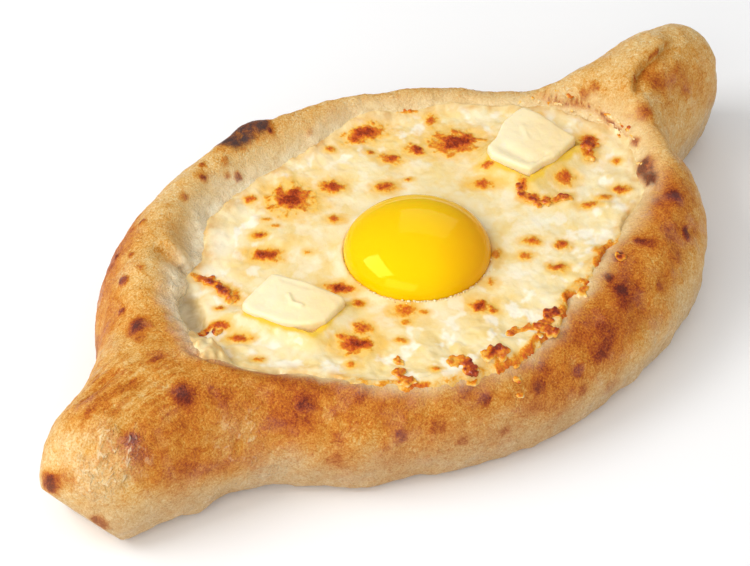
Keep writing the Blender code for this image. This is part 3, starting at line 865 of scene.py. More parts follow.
# How far the cheese runs over the rim and how high it climbs: direction in degrees, run and climb.
CHEESE_RUNS = [
    (0, -3.0, 3.0), (10, -5.0, 2.5), (23, -5.5, 1.2), (32, -4.7, 0.8), (41, -3.8, 0.8), (50, -3.2, 0.8),
    (60, -1.8, 0.8), (67, -1.4, 0.8), (75, -3.8, 0.8), (83, -5.8, 0.8), (97, -5.4, 0.8), (107, -4.6, 0.8),
    (121, -3.3, 0.8), (130, -1.5, 0.8), (140, -4.4, 0.8), (147, -5.8, 0.8), (152, -2.2, 0.8),
    (158, 0.3, 0.8), (168, 0.5, 1.0), (173, 3.5, 6.0), (177, 6.0, 7.0), (180, 6.5, 7.0), (183, 3.0, 6.5),
    (187, 1.6, 4.0), (191, -1.5, 3.0), (195, -2.5, 3.0), (204, -1.5, 3.0), (213, 1.6, 3.5),
    (225, 3.6, 4.0), (240, 4.2, 4.0), (255, 2.6, 3.0), (268, 0.6, 2.4), (275, -3.0, 2.4),
    (287, -4.8, 2.4), (298, -6.5, 2.4), (308, -7.3, 2.4), (318, -6.0, 2.4), (327, -3.5, 3.0),
    (340, -2.5, 3.0), (350, -2.5, 3.0), (360, -3.0, 3.0),
]

# How far in each ring of the cheese's hidden skirt lies, as shares of its outline, from the top down.
SKIRT_SHARES = (0.86, 0.84, 0.76)

# Mounds of cheese that did not melt flat: place, radius and height.
MOUNDS = [
    (-60, 10, 6, 1.1), (-58, 33, 6, 0.7), (-40, 43, 8, 0.9), (-30, 43, 6, 0.6), (-55, -20, 7, 0.8),
    (-46, -27, 7, 0.7), (-31, -36, 7, 0.8), (-14, -43, 7, 0.6), (8, -45, 7, 0.7), (29, -43, 6, 0.6),
    (47, -32, 7, 0.9), (58, -24, 6, 0.8), (68, 0, 6, 1.0), (62, 22, 6, 1.0), (50, 33, 8, 0.9),
    (28, 45, 8, 0.8), (5, 47, 7, 0.6), (-9, 41, 7, 0.7), (37, -15, 6, 0.7), (41, -22, 5, 0.6),
    (-28, 24, 7, 0.5), (12, 35, 7, 0.5),
]

# Curled wet folds at the left end: path, rise and width.
FOLDS = [
    ([(-76, 4), (-73.3, 5), (-71, 4.4), (-72.2, 2), (-75.6, -0.2), (-78, -0.7)], 1.1, 0.9),
    ([(-75.9, -1.9), (-71.8, 0.4), (-73.4, -2.9)], 0.9, 0.8),
    ([(-69.5, 0.3), (-66.3, 1), (-64.5, -1.5)], 0.5, 1.0),
]

# Places that have just begun to brown or to weep yellow butterfat: place, radius and strength.
STAINS = [
    (-12, 27, 9, 0.55), (-28, 20, 8, 0.40), (2, 36, 10, 0.45), (22, 34, 9, 0.35), (17, 22, 8, 0.40),
    (30, 10, 8, 0.30), (36, 16, 8, 0.40), (-38, -2, 8, 0.30), (-22, -8, 7, 0.35), (-32, -20, 8, 0.50),
    (-22, -27, 7, 0.40), (-12, -38, 6, 0.30), (48, -14, 9, 0.40), (38, -14, 7, 0.35), (52, -29, 8, 0.35),
    (60, -16, 8, 0.40), (-45, 22, 7, 0.30), (-63, 6, 7, 0.45), (-58, 0, 7, 0.35), (38, 35, 8, 0.35),
    (-4, -36, 7, 0.25), (24, -30, 7, 0.35),
]

# Whiter, wetter stretches of the cheese: place, radius and strength.
WHITER = [
    (-42, 35, 12, 0.8), (-52, 27, 10, 0.7), (-24, 39, 10, 0.6), (8, 42, 9, 0.5), (28, 40, 9, 0.5),
    (-58, 16, 8, 0.5),
]


def surface_trees(*names):
    """The surfaces of pieces, ready for measuring heights."""
    graph = bpy.context.evaluated_depsgraph_get()
    return [BVHTree.FromObject(bpy.data.objects[name], graph) for name in names]


def surface_height(trees, x, y):
    """Height at a place of whichever surface is highest there, in millimetres."""
    hits = [tree.ray_cast(Vector((x * MM, y * MM, 0.1)), Vector((0, 0, -1)))[0] for tree in trees]
    return max([0.0] + [hit.z / MM for hit in hits if hit])


def from_pit(points):
    """Distance from the pit as seen from above."""
    return from_path(flat(points), flat(np.array(PIT_PATH)))


def cheese_toast(points):
    """How toasted each point of the cheese is, in ragged patches, and how golden it is around them."""
    ragged = 0.45 * waves(points, 2.4, 2, seed=21) + 0.34 * (0.45 - grains(points, 1.4, seed=22))
    toast = np.zeros(len(points))
    glow = np.zeros(len(points))
    for x, y, long, wide, turn, dark in TOAST:
        u, v = turned(points[:, 0] - x, points[:, 1] - y, math.radians(turn))
        away = np.hypot(u / long, v / wide)
        close = away < 2.8
        patch = dark * np.clip((1.17 - away[close] - ragged[close]) / 0.92, 0, 1)
        toast[close] = np.maximum(toast[close], patch)
        ring = smooth(0.0, 0.6, dark) * smooth(2.2, 1.0, away[close] + 0.9 * ragged[close])
        glow[close] = np.maximum(glow[close], ring)
    return toast, glow


def cheese_outline(points):
    """Spreads a square grid from -1 to 1 over the opening and a little past it."""
    u, v = points[:, 0], points[:, 1]
    x = u * np.sqrt(1 - v * v / 2)
    y = v * np.sqrt(1 - u * u / 2)
    round_share = np.hypot(x, y)
    turn = np.arctan2(y, x)
    reach = (
        np.abs(np.cos(turn) / OPENING_HALF[0]) ** OPENING_FULLNESS
        + np.abs(np.sin(turn) / OPENING_HALF[1]) ** OPENING_FULLNESS
    ) ** (-1 / OPENING_FULLNESS)
    grow = settings().cheese.tuck / MM
    x, y = np.cos(turn) * round_share * (reach + grow), np.sin(turn) * round_share * (reach + grow)
    x, y = turned(x, y, -OPENING_TURN)
    return np.stack([x + OPENING_MIDDLE[0], y + OPENING_MIDDLE[1], np.zeros(len(points))], axis=1)


def toasted_cheese(tree, toast, crumb, grit):
    """The colour of the toasted grains, speckled by the cheese's crumb, and how far they hide the rest."""
    speckle = add(tree, "ShaderNodeMath", {0: crumb, 1: 0.6, 2: -0.30}, operation="MULTIPLY_ADD")
    fine = add(tree, "ShaderNodeMath", {0: grit, 1: 0.7, 2: -0.35}, operation="MULTIPLY_ADD")
    speckle = add(tree, "ShaderNodeMath", {0: speckle, 1: fine}, operation="ADD")
    share = add(tree, "ShaderNodeMapRange", {"Value": toast, "From Min": 0.02, "From Max": 0.30})
    speckle = add(tree, "ShaderNodeMath", {0: speckle, 1: share}, operation="MULTIPLY")
    toasted = add(tree, "ShaderNodeMath", {0: toast, 1: speckle}, operation="ADD", use_clamp=True)
    colour = add(tree, "ShaderNodeValToRGB", {"Fac": toasted}, stops=[
        (0.04, "#f2c85e"), (1.00, "#8c2802"), (0.16, "#efb234"), (0.34, "#e39012"), (0.52, "#d87008"),
        (0.68, "#c85206"), (0.84, "#ae3e04"),
    ])
    return add(tree, "ShaderNodeMapRange", {"Value": toasted, "From Min": 0.02, "From Max": 0.26}), colour


def cheese_colour(tree, layers, clouds, crumb, grit):
    """Creamy cheese, under white curds, stains, butter, its thin edge, the pit in painted shade, toasted
    grains.
    """
    look = settings().cheese
    large, small = clouds
    both = add(tree, "ShaderNodeMix", {0: 0.42, 2: large, 3: small})
    colour, edge, floor = (
        add(tree, "ShaderNodeValToRGB", {"Fac": pattern}, stops=stops)
        for pattern, stops in (
            (both, [(0.32, "#ecc670"), (0.64, "#f5e8c4"), (0.42, "#f0d48e"), (0.53, "#f3dfab")]),
            (small, [(0.32, "#dda85c"), (0.66, "#f3dda6"), (0.48, "#e8c583")]),
            # The pit: the dough's own colour, greyed and darkened by painted shade.
            (small, [(0.34, "#bfa064"), (0.64, "#e6d6b0"), (0.50, "#d6c096")]),
        )
    )
    for share, over in (
        (layers["curd"], (*look.curd_colour, 1)), (layers["stain"], (*look.stain_colour, 1)),
        (layers["oil"], (*look.oil_colour, 1)), (layers["thin"], edge), (layers["pit"], floor),
        toasted_cheese(tree, layers["toast"], crumb, grit),
    ):
        colour = add(tree, "ShaderNodeMix", {0: share, 6: colour, 7: over}, out=2, data_type="RGBA")
    return colour


def cheese_material():
    """Fresh brined cheese melted with a little butter: creamy, moist, with toasted grains."""
    material, tree, place = new_material("Melted curd cheese")
    layers = {
        name: add(tree, "ShaderNodeAttribute", out="Fac", attribute_name=name)
        for name in ("toast", "oil", "curd", "thin", "stain", "pit")
    }
    *clouds, crumb, grit = (
        add(tree, "ShaderNodeTexNoise", {"Vector": place, "Scale": per(size), **more})
        for size, more in (
            (15, {"Detail": 3.0, "Distortion": 0.8}), (5, {"Detail": 4.0, "Distortion": 0.6}),
            (1.3, {"Detail": 4.0, "Roughness": 0.65}), (0.7, {"Detail": 2.0, "Roughness": 0.6}),
        )
    )
    rough = add(tree, "ShaderNodeMapRange", {
        "Value": crumb, "From Min": 0.3, "From Max": 0.7, "To Min": 0.26, "To Max": 0.46,
    })
    rough = add(tree, "ShaderNodeMath", {0: layers["oil"], 1: -0.16, 2: rough}, operation="MULTIPLY_ADD")
    bump = add(tree, "ShaderNodeBump", {"Height": crumb, "Strength": 0.35, "Distance": 0.0004})
    gritty = add(tree, "ShaderNodeMath", {0: layers["toast"], 1: grit}, operation="MULTIPLY")
    bump = add(tree, "ShaderNodeBump", {
        "Height": gritty, "Strength": 1.0, "Distance": 0.0008, "Normal": bump,
    })
    wet = add(tree, "ShaderNodeMath", {
        0: layers["toast"], 1: -0.4, 2: 0.45,
    }, operation="MULTIPLY_ADD", use_clamp=True)
    surface = add(tree, "ShaderNodeBsdfPrincipled", {
        "Base Color": cheese_colour(tree, layers, clouds, crumb, grit), "Roughness": rough, "Normal": bump,
        "IOR": 1.44, "Specular IOR Level": 0.25,
        "Subsurface Weight": 0.20, "Subsurface Radius": (1.0, 0.7, 0.4), "Subsurface Scale": 0.0008,
        "Coat Weight": wet, "Coat Roughness": 0.10,
    })
    add(tree, "ShaderNodeOutputMaterial", {"Surface": surface})
    return material


def yolk_place():
    """Middle and half-sizes of the yolk, in millimetres."""
    low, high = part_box("yolk")
    middle = (np.array(low) + np.array(high)) / 2 / MM
    half = (np.array(high) - np.array(low)) / 2 / MM
    return middle, half


def cheese_surface(points):
    """Height of the melted surface at each point, before its edge and the seats are shaped."""
    look = settings().cheese
    share = opening_share(points)
    height = np.full(len(points), look.level / MM)
    height += 0.40 * waves(points, 17, 2, seed=11)
    ring = np.linalg.norm(points[:, :2] - yolk_place()[0][:2], axis=1)
    calm = smooth(21, 30, ring)
    lumpy = calm * (0.25 + 0.75 * smooth(0.55, 0.85, share))
    height += (0.12 + 0.30 * lumpy) * waves(points, 6.0, 2, seed=12)
    height += 0.42 * lumpy * (grains(points, 4.2, seed=13) - 0.35)
    height += 0.10 * calm * waves(points, 1.8, 2, seed=14)
    for x, y, radius, rise in MOUNDS:
        height += rise * near_point(flat(points), (x, y), radius)
    height += 0.5 * bell(ring - 21.5, 1.6)
    height -= look.pit / MM * (1 - smooth(0.8, 5.0, from_pit(points) + 0.5 * waves(points, 3, 2, seed=16)))
    return height


def cheese_edge(points, height):
    """Lets the cheese run over the crust where the rim is low, thinning to nothing along a ragged line."""
    look = settings().cheese
    out, direction = outside_opening(points)
    tops = np.full(len(points), -100.0)
    outer = out > -18
    crust = surface_trees("baked_crust")
    tops[outer] = [surface_height(crust, x, y) for x, y, _ in points[outer].tolist()]
    run, climb = read_off(CHEESE_RUNS, direction)
    far = smooth(0, 20, direction) * smooth(170, 150, direction)
    ragged = 2.0 * waves(points, 9, 2, seed=17) + 0.9 * waves(points, 2.8, 2, seed=18)
    ragged *= 1 - 0.35 * far
    left = run + ragged - out
    film = np.where(left > 0, (0.7 - 0.4 * far) * (1 - np.exp(-np.maximum(left, 0) / 2.5)), 0.5 * left)
    beyond = out - np.minimum(run, 0)
    over = np.minimum(tops + np.maximum(film, -1.6), height + climb * smooth(-8, 2, beyond))
    pool = height + 0.8 * smooth(-7, 0, beyond) - 0.7 * np.maximum(beyond, 0) - 2.0 * np.maximum(-left, 0)
    thin = smooth(5.5, 0.0, left) * smooth(-7, -1, beyond)
    thin = np.maximum(thin, 0.2 * far * smooth(-4.0, 0.5, beyond + 1.2 * ragged))
    near = smooth(200, 215, direction) * smooth(322, 302, direction)
    crisp = 0.14 + 0.42 * smooth(-0.25, 0.35, waves(points, 4, 2, seed=29))
    crisp *= near * smooth(3.6, 0.3, left)
    return np.maximum(np.maximum(pool, over), look.hidden / MM), thin, crisp


def tucked_in(points):
    """Draws the hidden part of the cheese's edge in, so that it stays inside the crust's thinner walls."""
    out, direction = outside_opening(points)
    limit = np.maximum(read_off(CHEESE_RUNS, direction)[0], -4) + 5
    return drawn_in(points, 0.9 * np.maximum(out - limit, 0))


def press_seats(points, height):
    """Lowers the cheese under the yolk and the butter, so that they sit in it."""
    middle, half = yolk_place()
    away = np.hypot((points[:, 0] - middle[0]) / half[0], (points[:, 1] - middle[1]) / half[1])
    bowl = middle[2] - half[2] * np.sqrt(np.clip(1 - (away * 1.004) ** 2, 0, 1)) - 0.25
    height = np.where(away < 0.995, np.minimum(height, bowl), height)
    for node, corners in PAT_CORNERS.items():
        out = outside_outline(points, corners)
        middle = np.mean(corners, axis=0)
        near = smooth(-5.6, 5.6, nearer(points, middle))
        height = height + settings().cheese.banked / MM * near * bell(out - 0.5, 3.6)
        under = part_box(node)[0].z / MM - 0.25
        height = np.where(out < -0.6, under, height)
    return height


def cheese_block():
    """A closed block: a fine square grid from -1 to 1 with a skirt of rings and a bottom under it."""
    look = settings().cheese
    shapes = bmesh.new()
    across = round(OPENING_HALF[0] * 2 * MM / look.spacing)
    deep = round(OPENING_HALF[1] * 2 * MM / look.spacing)
    bmesh.ops.create_grid(shapes, x_segments=across, y_segments=deep, size=1.0)
    edge = [e for e in shapes.edges if e.is_boundary]
    for _ in SKIRT_SHARES:
        made = bmesh.ops.extrude_edge_only(shapes, edges=edge)["geom"]
        new_points = [g for g in made if isinstance(g, bmesh.types.BMVert)]
        bmesh.ops.translate(shapes, verts=new_points, vec=(0, 0, -1))
        edge = [g for g in made if isinstance(g, bmesh.types.BMEdge) and g.is_boundary]
    bmesh.ops.holes_fill(shapes, edges=edge, sides=0)
    bmesh.ops.recalc_face_normals(shapes, faces=shapes.faces)
    return to_mesh(shapes, "cheese")


def melted_butter(points):
    """How soaked each point is in butter that has melted round the pats, most on their near sides."""
    soaked = np.zeros(len(points))
    for corners in PAT_CORNERS.values():
        out = outside_outline(points, corners) + 1.4 * waves(points, 5, 2, seed=25)
        middle = np.mean(corners, axis=0)
        near = smooth(-6, 6, nearer(points, middle))
        ring = 0.80 * (1 - smooth(0.5, 2.4, out)) + 0.34 * (1 - smooth(1.5, 7.0, out))
        soaked = np.maximum(soaked, (0.2 + 0.8 * near) * ring)
    return soaked


def whiter_cheese(points):
    """How white and wet the curds of each point are."""
    outer = 0.35 + 0.65 * smooth(0.45, 0.8, opening_share(points))
    white = 0.95 * outer * smooth(0.05, 0.45, waves(points, 4.6, 3, seed=27))
    for x, y, radius, strength in WHITER:
        white = np.maximum(white, strength * near_point(flat(points), (x, y), radius))
    return white


def cheese_stains(points):
    """How much each point has begun to brown or to weep butterfat."""
    stain = np.zeros(len(points))
    uneven = 0.75 + 0.6 * waves(points, 4, 2, seed=28)
    for x, y, radius, strength in STAINS:
        stain += strength * near_point(flat(points), (x, y), radius) * uneven
    return stain


def make_cheese():
    """The filling: its top melted over the crust's inner side, its skirt and bottom hidden in the bread."""
    look = settings().cheese
    mesh = cheese_block()
    grid = points_of(mesh) * MM
    layer = np.round(-grid[:, 2]).astype(int)
    points = cheese_outline(grid)
    top = layer == 0
    height, thin, crisp = (np.zeros(len(points)) for _ in range(3))
    height[top], thin[top], crisp[top] = cheese_edge(points[top], cheese_surface(points[top]))
    for path, rise, width in FOLDS:
        height[top] += rise * bell(from_path(flat(points[top]), path), width)
    thin = np.maximum(thin, 0.8 * near_point(flat(points), (-73, 1), 10))
    height[top] = press_seats(points[top], height[top])
    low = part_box("cheese")[0].z / MM
    rings = len(SKIRT_SHARES)
    height[~top] = low + (rings - layer[~top]) / (rings - 1) * (look.hidden / MM - 1 - low)
    middle = np.array([*OPENING_MIDDLE, 0])
    for level, shrink in enumerate(SKIRT_SHARES, 1):
        points[layer == level] = middle + (points[layer == level] - middle) * shrink
    points[:, 2] = height
    points[top] = tucked_in(points[top])
    toast, glow = cheese_toast(points)
    toast = np.maximum(toast, crisp)
    toast[~top] = 0
    lifted = points.copy()
    lifted[:, 2] += toast * (0.10 + 1.35 * grains(points, 1.4, seed=23))
    move_points(mesh, lifted)
    paint(
        mesh,
        toast=toast,
        oil=melted_butter(points),
        curd=whiter_cheese(points),
        thin=thin,
        # The pit, painted as dough in painted shade.
        pit=1 - smooth(1.5, 5.5, from_pit(points)),
        stain=np.maximum(0.9 * cheese_stains(points), 0.8 * glow),
    )
    return mesh_piece("melted_cheese", mesh, cheese_material())


# ---------------------------------------------------------------- curds

# Toasted curds that stand up from the cheese and the rim: place, radius, how dark, and how many lumps.
CURDS = [
    (-38.5, -34.0, 1.5, 0.55, 4), (-42.0, -37.0, 1.9, 0.75, 6), (-43.6, -40.6, 1.6, 0.60, 5),
    (-41.6, -42.0, 1.2, 0.5, 3), (-28.6, -44.4, 1.8, 0.50, 6), (-26.6, -46.0, 1.7, 0.45, 5),
    (-27.6, -49.6, 1.9, 0.95, 6), (-29.2, -51.8, 1.5, 0.7, 4), (-21.0, -49.0, 1.6, 0.70, 5),
    (-18.8, -49.4, 1.8, 0.80, 6), (-16.6, -51.0, 1.6, 0.75, 5), (-18.0, -52.4, 1.2, 0.55, 3),
    (-10.0, -47.2, 1.3, 0.55, 4), (-7.4, -47.8, 1.5, 0.60, 5), (-4.6, -49.6, 1.6, 0.65, 5),
    (-2.4, -51.6, 1.9, 0.70, 6), (-1.6, -54.6, 1.7, 0.75, 5), (0.6, -51.4, 1.5, 0.80, 4),
    (3.4, -49.4, 1.9, 1.00, 4), (5.0, -50.4, 1.5, 0.90, 3), (-5.0, -53.6, 1.1, 0.40, 3),
    (17.6, -49.0, 1.5, 0.65, 4), (15.6, -50.4, 1.4, 0.30, 3), (33.2, -48.2, 1.5, 1.20, 3),
    (-55.4, 28.0, 1.3, 0.40, 4), (-53.8, 26.0, 1.4, 0.55, 4), (-52.8, 24.0, 1.8, 0.80, 5),
    (-53.2, 21.0, 1.6, 0.85, 5), (-53.8, 18.2, 1.7, 0.80, 5), (-54.2, 15.4, 1.5, 0.65, 4),
    (-68.0, 11.0, 1.8, 0.90, 4), (-65.4, 8.4, 1.5, 0.60, 4), (35.2, -8.4, 1.3, 0.80, 4),
    (34.3, -11.1, 1.5, 0.85, 5), (34.0, -14.0, 1.5, 0.80, 5), (34.4, -16.8, 1.3, 0.70, 4),
    (36.2, -18.2, 1.3, 0.70, 4), (38.2, -19.0, 1.2, 0.65, 4), (40.6, -19.8, 1.4, 0.75, 5),
    (42.0, -21.2, 1.3, 0.70, 4), (61.8, -10.2, 2.0, 0.95, 6), (64.2, -10.8, 1.6, 0.75, 5),
    (59.6, -13.4, 1.5, 0.60, 5), (72.4, 6.1, 0.9, 0.70, 4), (71.2, 10.5, 0.7, 0.60, 3),
    (75.3, -3.0, 0.7, 0.70, 3), (75.0, -7.6, 0.6, 0.60, 3), (72.6, -13.3, 0.9, 0.70, 4),
    (-18.1, -57.6, 1.3, 0.45, 4), (-19.2, -60.2, 1.1, 0.50, 3), (-16.0, -55.6, 1.0, 0.40, 2),
]

# Stretches of the cheese's edge with small curds: directions from and to, distance past the edge, count,
# radius and how dark.
EDGE_CURDS = [(2, 17, 2.2, 9, 0.90, 0.45), (343, 360, 1.4, 11, 0.95, 0.50), (324, 342, 0.8, 4, 0.8, 0.45)]

# Each curd has this many lumps besides those in its row.
MORE_LUMPS = 5


def edge_curds():
    """Small curds along the cheese's edge, in rows like those of CURDS."""
    chance = random.Random(72)
    middle = np.array([*OPENING_MIDDLE, 0])
    rows = []
    for start, end, past, count, radius, dark in EDGE_CURDS:
        for i in range(count):
            direction = start + (end - start) * (i + chance.random()) / count
            way = np.array([math.cos(math.radians(direction)), math.sin(math.radians(direction)), 0])
            edge = 10 / opening_share((middle + 10 * way)[None])[0]
            out = read_off(CHEESE_RUNS, direction)[0] + past + chance.gauss(0, 0.5)
            x, y, _ = middle + way * (edge + out)
            rows.append((x, y, radius * chance.uniform(0.6, 1.2), dark * chance.uniform(0.6, 1.3), 1))
    return rows


def curd_material():
    """Curds of cheese that fried in their own butter: amber to dark brown, glossy."""
    material, tree, place = new_material("Toasted curds")
    layer = add(tree, "ShaderNodeAttribute", out="Fac", attribute_name="toast")
    grit = add(tree, "ShaderNodeTexNoise", {
        "Vector": place, "Scale": per(0.8), "Detail": 3.0, "Roughness": 0.65,
    })
    amount = add(tree, "ShaderNodeMath", {0: grit, 1: 0.8, 2: -0.4}, operation="MULTIPLY_ADD")
    fried = add(tree, "ShaderNodeMapRange", {
        "Value": layer, "From Min": 0.05, "From Max": 0.35, "To Min": 0.12,
    })
    amount = add(tree, "ShaderNodeMath", {
        0: amount, 1: fried, 2: layer,
    }, operation="MULTIPLY_ADD", use_clamp=True)
    colour = add(tree, "ShaderNodeValToRGB", {"Fac": amount}, stops=[
        (0.00, "#f8e4b4"), (1.00, "#7c1e00"), (0.16, "#f0b848"), (0.36, "#e38e14"), (0.56, "#cf680a"),
        (0.78, "#ac3e04"),
    ])
    rough = add(tree, "ShaderNodeMapRange", {
        "Value": grit, "From Min": 0.3, "From Max": 0.7, "To Min": 0.16, "To Max": 0.36,
    })
    bump = add(tree, "ShaderNodeBump", {"Height": grit, "Strength": 0.6, "Distance": 0.0003})
    surface = add(tree, "ShaderNodeBsdfPrincipled", {
        "Base Color": colour, "Roughness": rough, "Normal": bump,
        "IOR": 1.45, "Specular IOR Level": 0.25, "Coat Weight": 0.35, "Coat Roughness": 0.08,
        "Subsurface Weight": 0.15, "Subsurface Radius": (1.0, 0.5, 0.2), "Subsurface Scale": 0.0008,
    })
    add(tree, "ShaderNodeOutputMaterial", {"Surface": surface})
    return material


def curd_lumps(places, trees):
    """Small balls heaped up at each place, as one mesh."""
    chance = random.Random(71)
    shapes = bmesh.new()
    for x, y, radius, _, lumps in places:
        radius *= settings().curds.growth
        high = surface_height(trees, x, y) - (0.35 * radius if lumps == 1 else 0)
        lumps += MORE_LUMPS
        for i in range(lumps):
            size = radius * chance.uniform(0.26, 0.52)
            turn = math.tau * (i + 0.7 * chance.random()) / lumps
            away = 0.0 if i == 0 else radius * chance.uniform(0.3, 0.85)
            up = high + size * chance.uniform(-0.3, 0.25)
            at = Vector((x + away * math.cos(turn), y + away * math.sin(turn), up))
            bmesh.ops.create_icosphere(
                shapes, subdivisions=3, radius=size * MM, matrix=Matrix.Translation(at * MM),
            )
    return to_mesh(shapes, "curds")


def curd_toast(points, places, trees):
    """How toasted each point of the curds is, most on their tops."""
    toast = np.zeros(len(points))
    for x, y, radius, dark, _ in places:
        radius *= settings().curds.growth
        away = np.hypot(points[:, 0] - x, points[:, 1] - y) / radius
        top = 0.18 + 0.82 * smooth(0.0, 0.6 * radius, points[:, 2] - surface_height(trees, x, y))
        toast = np.maximum(toast, 1.10 * dark * top * (1 - smooth(0.8, 2.2, away)))
    return toast + (0.06 + 0.4 * np.clip(toast, 0, 1)) * waves(points, 1.5, 2, seed=74)


def make_curds():
    """All the raised curds as one piece: lumps joined by remeshing, darkest on their tops."""
    places = CURDS + edge_curds()
    trees = surface_trees("baked_crust", "melted_cheese")
    mesh = remeshed(curd_lumps(places, trees), settings().curds.voxel)
    relax(mesh, 4)
    points = points_of(mesh)
    rough = 0.30 * waves(points, 1.6, 2, seed=72) + 0.20 * waves(points, 0.8, 1, seed=73)
    points += rough[:, None] * normals_of(mesh)
    move_points(mesh, points)
    paint(mesh, toast=curd_toast(points, places, trees))
    return mesh_piece("toasted_curds", mesh, curd_material())


# ---------------------------------------------------------------- yolk

def yolk_material():
    """Raw hen's yolk warmed by the cheese: deep yellow, glossy and slightly see-through."""
    look = settings().yolk
    material, tree, place = new_material("Soft egg yolk")
    # Painted shade: this layer turns the yolk more orange towards the cook's right, away from the lights.
    deep = add(tree, "ShaderNodeAttribute", out="Fac", attribute_name="deep")
    cloud = add(tree, "ShaderNodeTexNoise", {"Vector": place, "Scale": per(22), "Detail": 2.0})
    colour = add(tree, "ShaderNodeMix", {
        0: deep, 6: (*look.colour, 1), 7: (*look.shaded_colour, 1),
    }, out=2, data_type="RGBA")
    rough = add(tree, "ShaderNodeMapRange", {
        "Value": cloud, "From Min": 0.3, "From Max": 0.7, "To Min": 0.03, "To Max": 0.06,
    })
    skin = add(tree, "ShaderNodeTexNoise", {"Vector": place, "Scale": per(5), "Detail": 3.0})
    bump = add(tree, "ShaderNodeBump", {"Height": skin, "Strength": 0.12, "Distance": 0.0004})
    surface = add(tree, "ShaderNodeBsdfPrincipled", {
        "Base Color": colour, "Roughness": rough, "Normal": bump,
        "IOR": 1.40, "Specular IOR Level": 0.85, "Specular Tint": (1.0, 0.88, 0.12, 1.0),
        "Subsurface Weight": 0.25, "Subsurface Radius": (1.0, 0.5, 0.02), "Subsurface Scale": 0.003,
    })
    add(tree, "ShaderNodeOutputMaterial", {"Surface": surface})
    return material


def bubble_material():
    """Cooked egg white froth: clear to creamy, wet and shiny."""
    material, tree, place = new_material("Egg white froth")
    cloud = add(tree, "ShaderNodeTexNoise", {"Vector": place, "Scale": per(1.2), "Detail": 2.0})
    colour = add(tree, "ShaderNodeValToRGB", {"Fac": cloud}, stops=[
        (0.35, "#ecca80"), (0.65, "#faeecb"),
    ])
    rough = add(tree, "ShaderNodeMapRange", {"Value": cloud, "To Min": 0.06, "To Max": 0.18})
    bump = add(tree, "ShaderNodeBump", {"Height": cloud, "Strength": 0.2, "Distance": 0.0002})
    surface = add(tree, "ShaderNodeBsdfPrincipled", {
        "Base Color": colour, "Roughness": rough, "Normal": bump,
        "IOR": 1.36, "Subsurface Weight": 0.2, "Subsurface Scale": 0.0005,
    })
    add(tree, "ShaderNodeOutputMaterial", {"Surface": surface})
    return material


# The direction from the yolk's middle in which the froth is thickest, and how far it spreads, in degrees.
FROTH_DIRECTION = 238
FROTH_SPREAD = 27


def make_bubbles():
    """Tiny bubbles of egg white along the yolk's near edge."""
    middle, half = yolk_place()
    chance = random.Random(61)
    trees = surface_trees("baked_crust", "melted_cheese")
    shapes = bmesh.new()
    for _ in range(settings().yolk.bubbles):
        turn = math.radians(chance.gauss(FROTH_DIRECTION, FROTH_SPREAD))
        out = 1.008 + abs(chance.gauss(0, 0.030))
        size = chance.uniform(0.14, 0.34)
        at = (middle[0] + half[0] * out * math.cos(turn), middle[1] + half[1] * out * math.sin(turn))
        high = surface_height(trees, at[0], at[1]) + 0.3 * size
        place = Matrix.Translation((at[0] * MM, at[1] * MM, high * MM))
        bmesh.ops.create_icosphere(shapes, subdivisions=2, radius=size * MM, matrix=place)
    return mesh_piece("egg_white_bubbles", to_mesh(shapes, "bubbles"), bubble_material())


def make_yolk():
    """The yolk: a ball the size of its node, flattened a little on top, with painted shade deepening it to
    the right.
    """
    middle, half = yolk_place()
    shapes = bmesh.new()
    bmesh.ops.create_uvsphere(shapes, u_segments=128, v_segments=72, radius=1.0)
    mesh = to_mesh(shapes, "yolk")
    points = points_of(mesh) * MM
    sag = 1 + 0.012 * waves(points, 1.1, 1, seed=31)
    points[:, 2] = np.where(points[:, 2] > 0, 0.90 * points[:, 2], points[:, 2])
    points = middle + points * half * sag[:, None]
    move_points(mesh, points)
    # Painted shade, deepest on the cook's right.
    paint(mesh, deep=smooth(0, 20, rightward(points, middle) + 2.0 * waves(points, 12, 2, seed=32)))
    return mesh_piece("egg_yolk", mesh, yolk_material())


# ---------------------------------------------------------------- butter

# Outlines of the pats as they have softened.
PAT_OUTLINES = {
    "butter_front": [
        (-41.3, 12.4), (-36.8, 2.7), (-34.0, -8.2), (-34.6, -9.6), (-41.3, -11.3), (-44.3, -11.6),
        (-47.8, -9.9), (-52.9, -3.7), (-55.0, 2.4), (-56.5, 6.0), (-55.6, 9.2), (-50.8, 10.6),
    ],
    "butter_back": [
        (55.9, 13.2), (59.5, 12.9), (60.8, 6.0), (60.2, -3.0), (60.4, -7.4), (49.0, -9.2), (45.6, -8.2),
        (40.0, -8.2), (37.8, 0.8), (37.0, 4.2), (38.6, 7.8), (43.4, 8.8), (49.9, 12.2),
    ],
}

# Ridges and dents that the knife left: their path, rise and width.
KNIFE_MARKS = {
    "butter_front": [
        ([(-44.5, 2.5), (-46.0, -0.5), (-45.0, -3.0)], 0.55, 0.7),
        ([(-41.0, 8.0), (-38.5, 1.0)], -0.25, 1.0), ([(-52.0, 4.0), (-49.0, -6.0)], -0.35, 2.4),
    ],
    "butter_back": [
        ([(52.5, 6.5), (49.5, 2.0)], 0.25, 0.8), ([(44.0, -6.5), (48.0, -6.5)], -0.5, 0.8),
        ([(42.0, 4.0), (42.5, -4.0)], -0.7, 2.0),
    ],
}


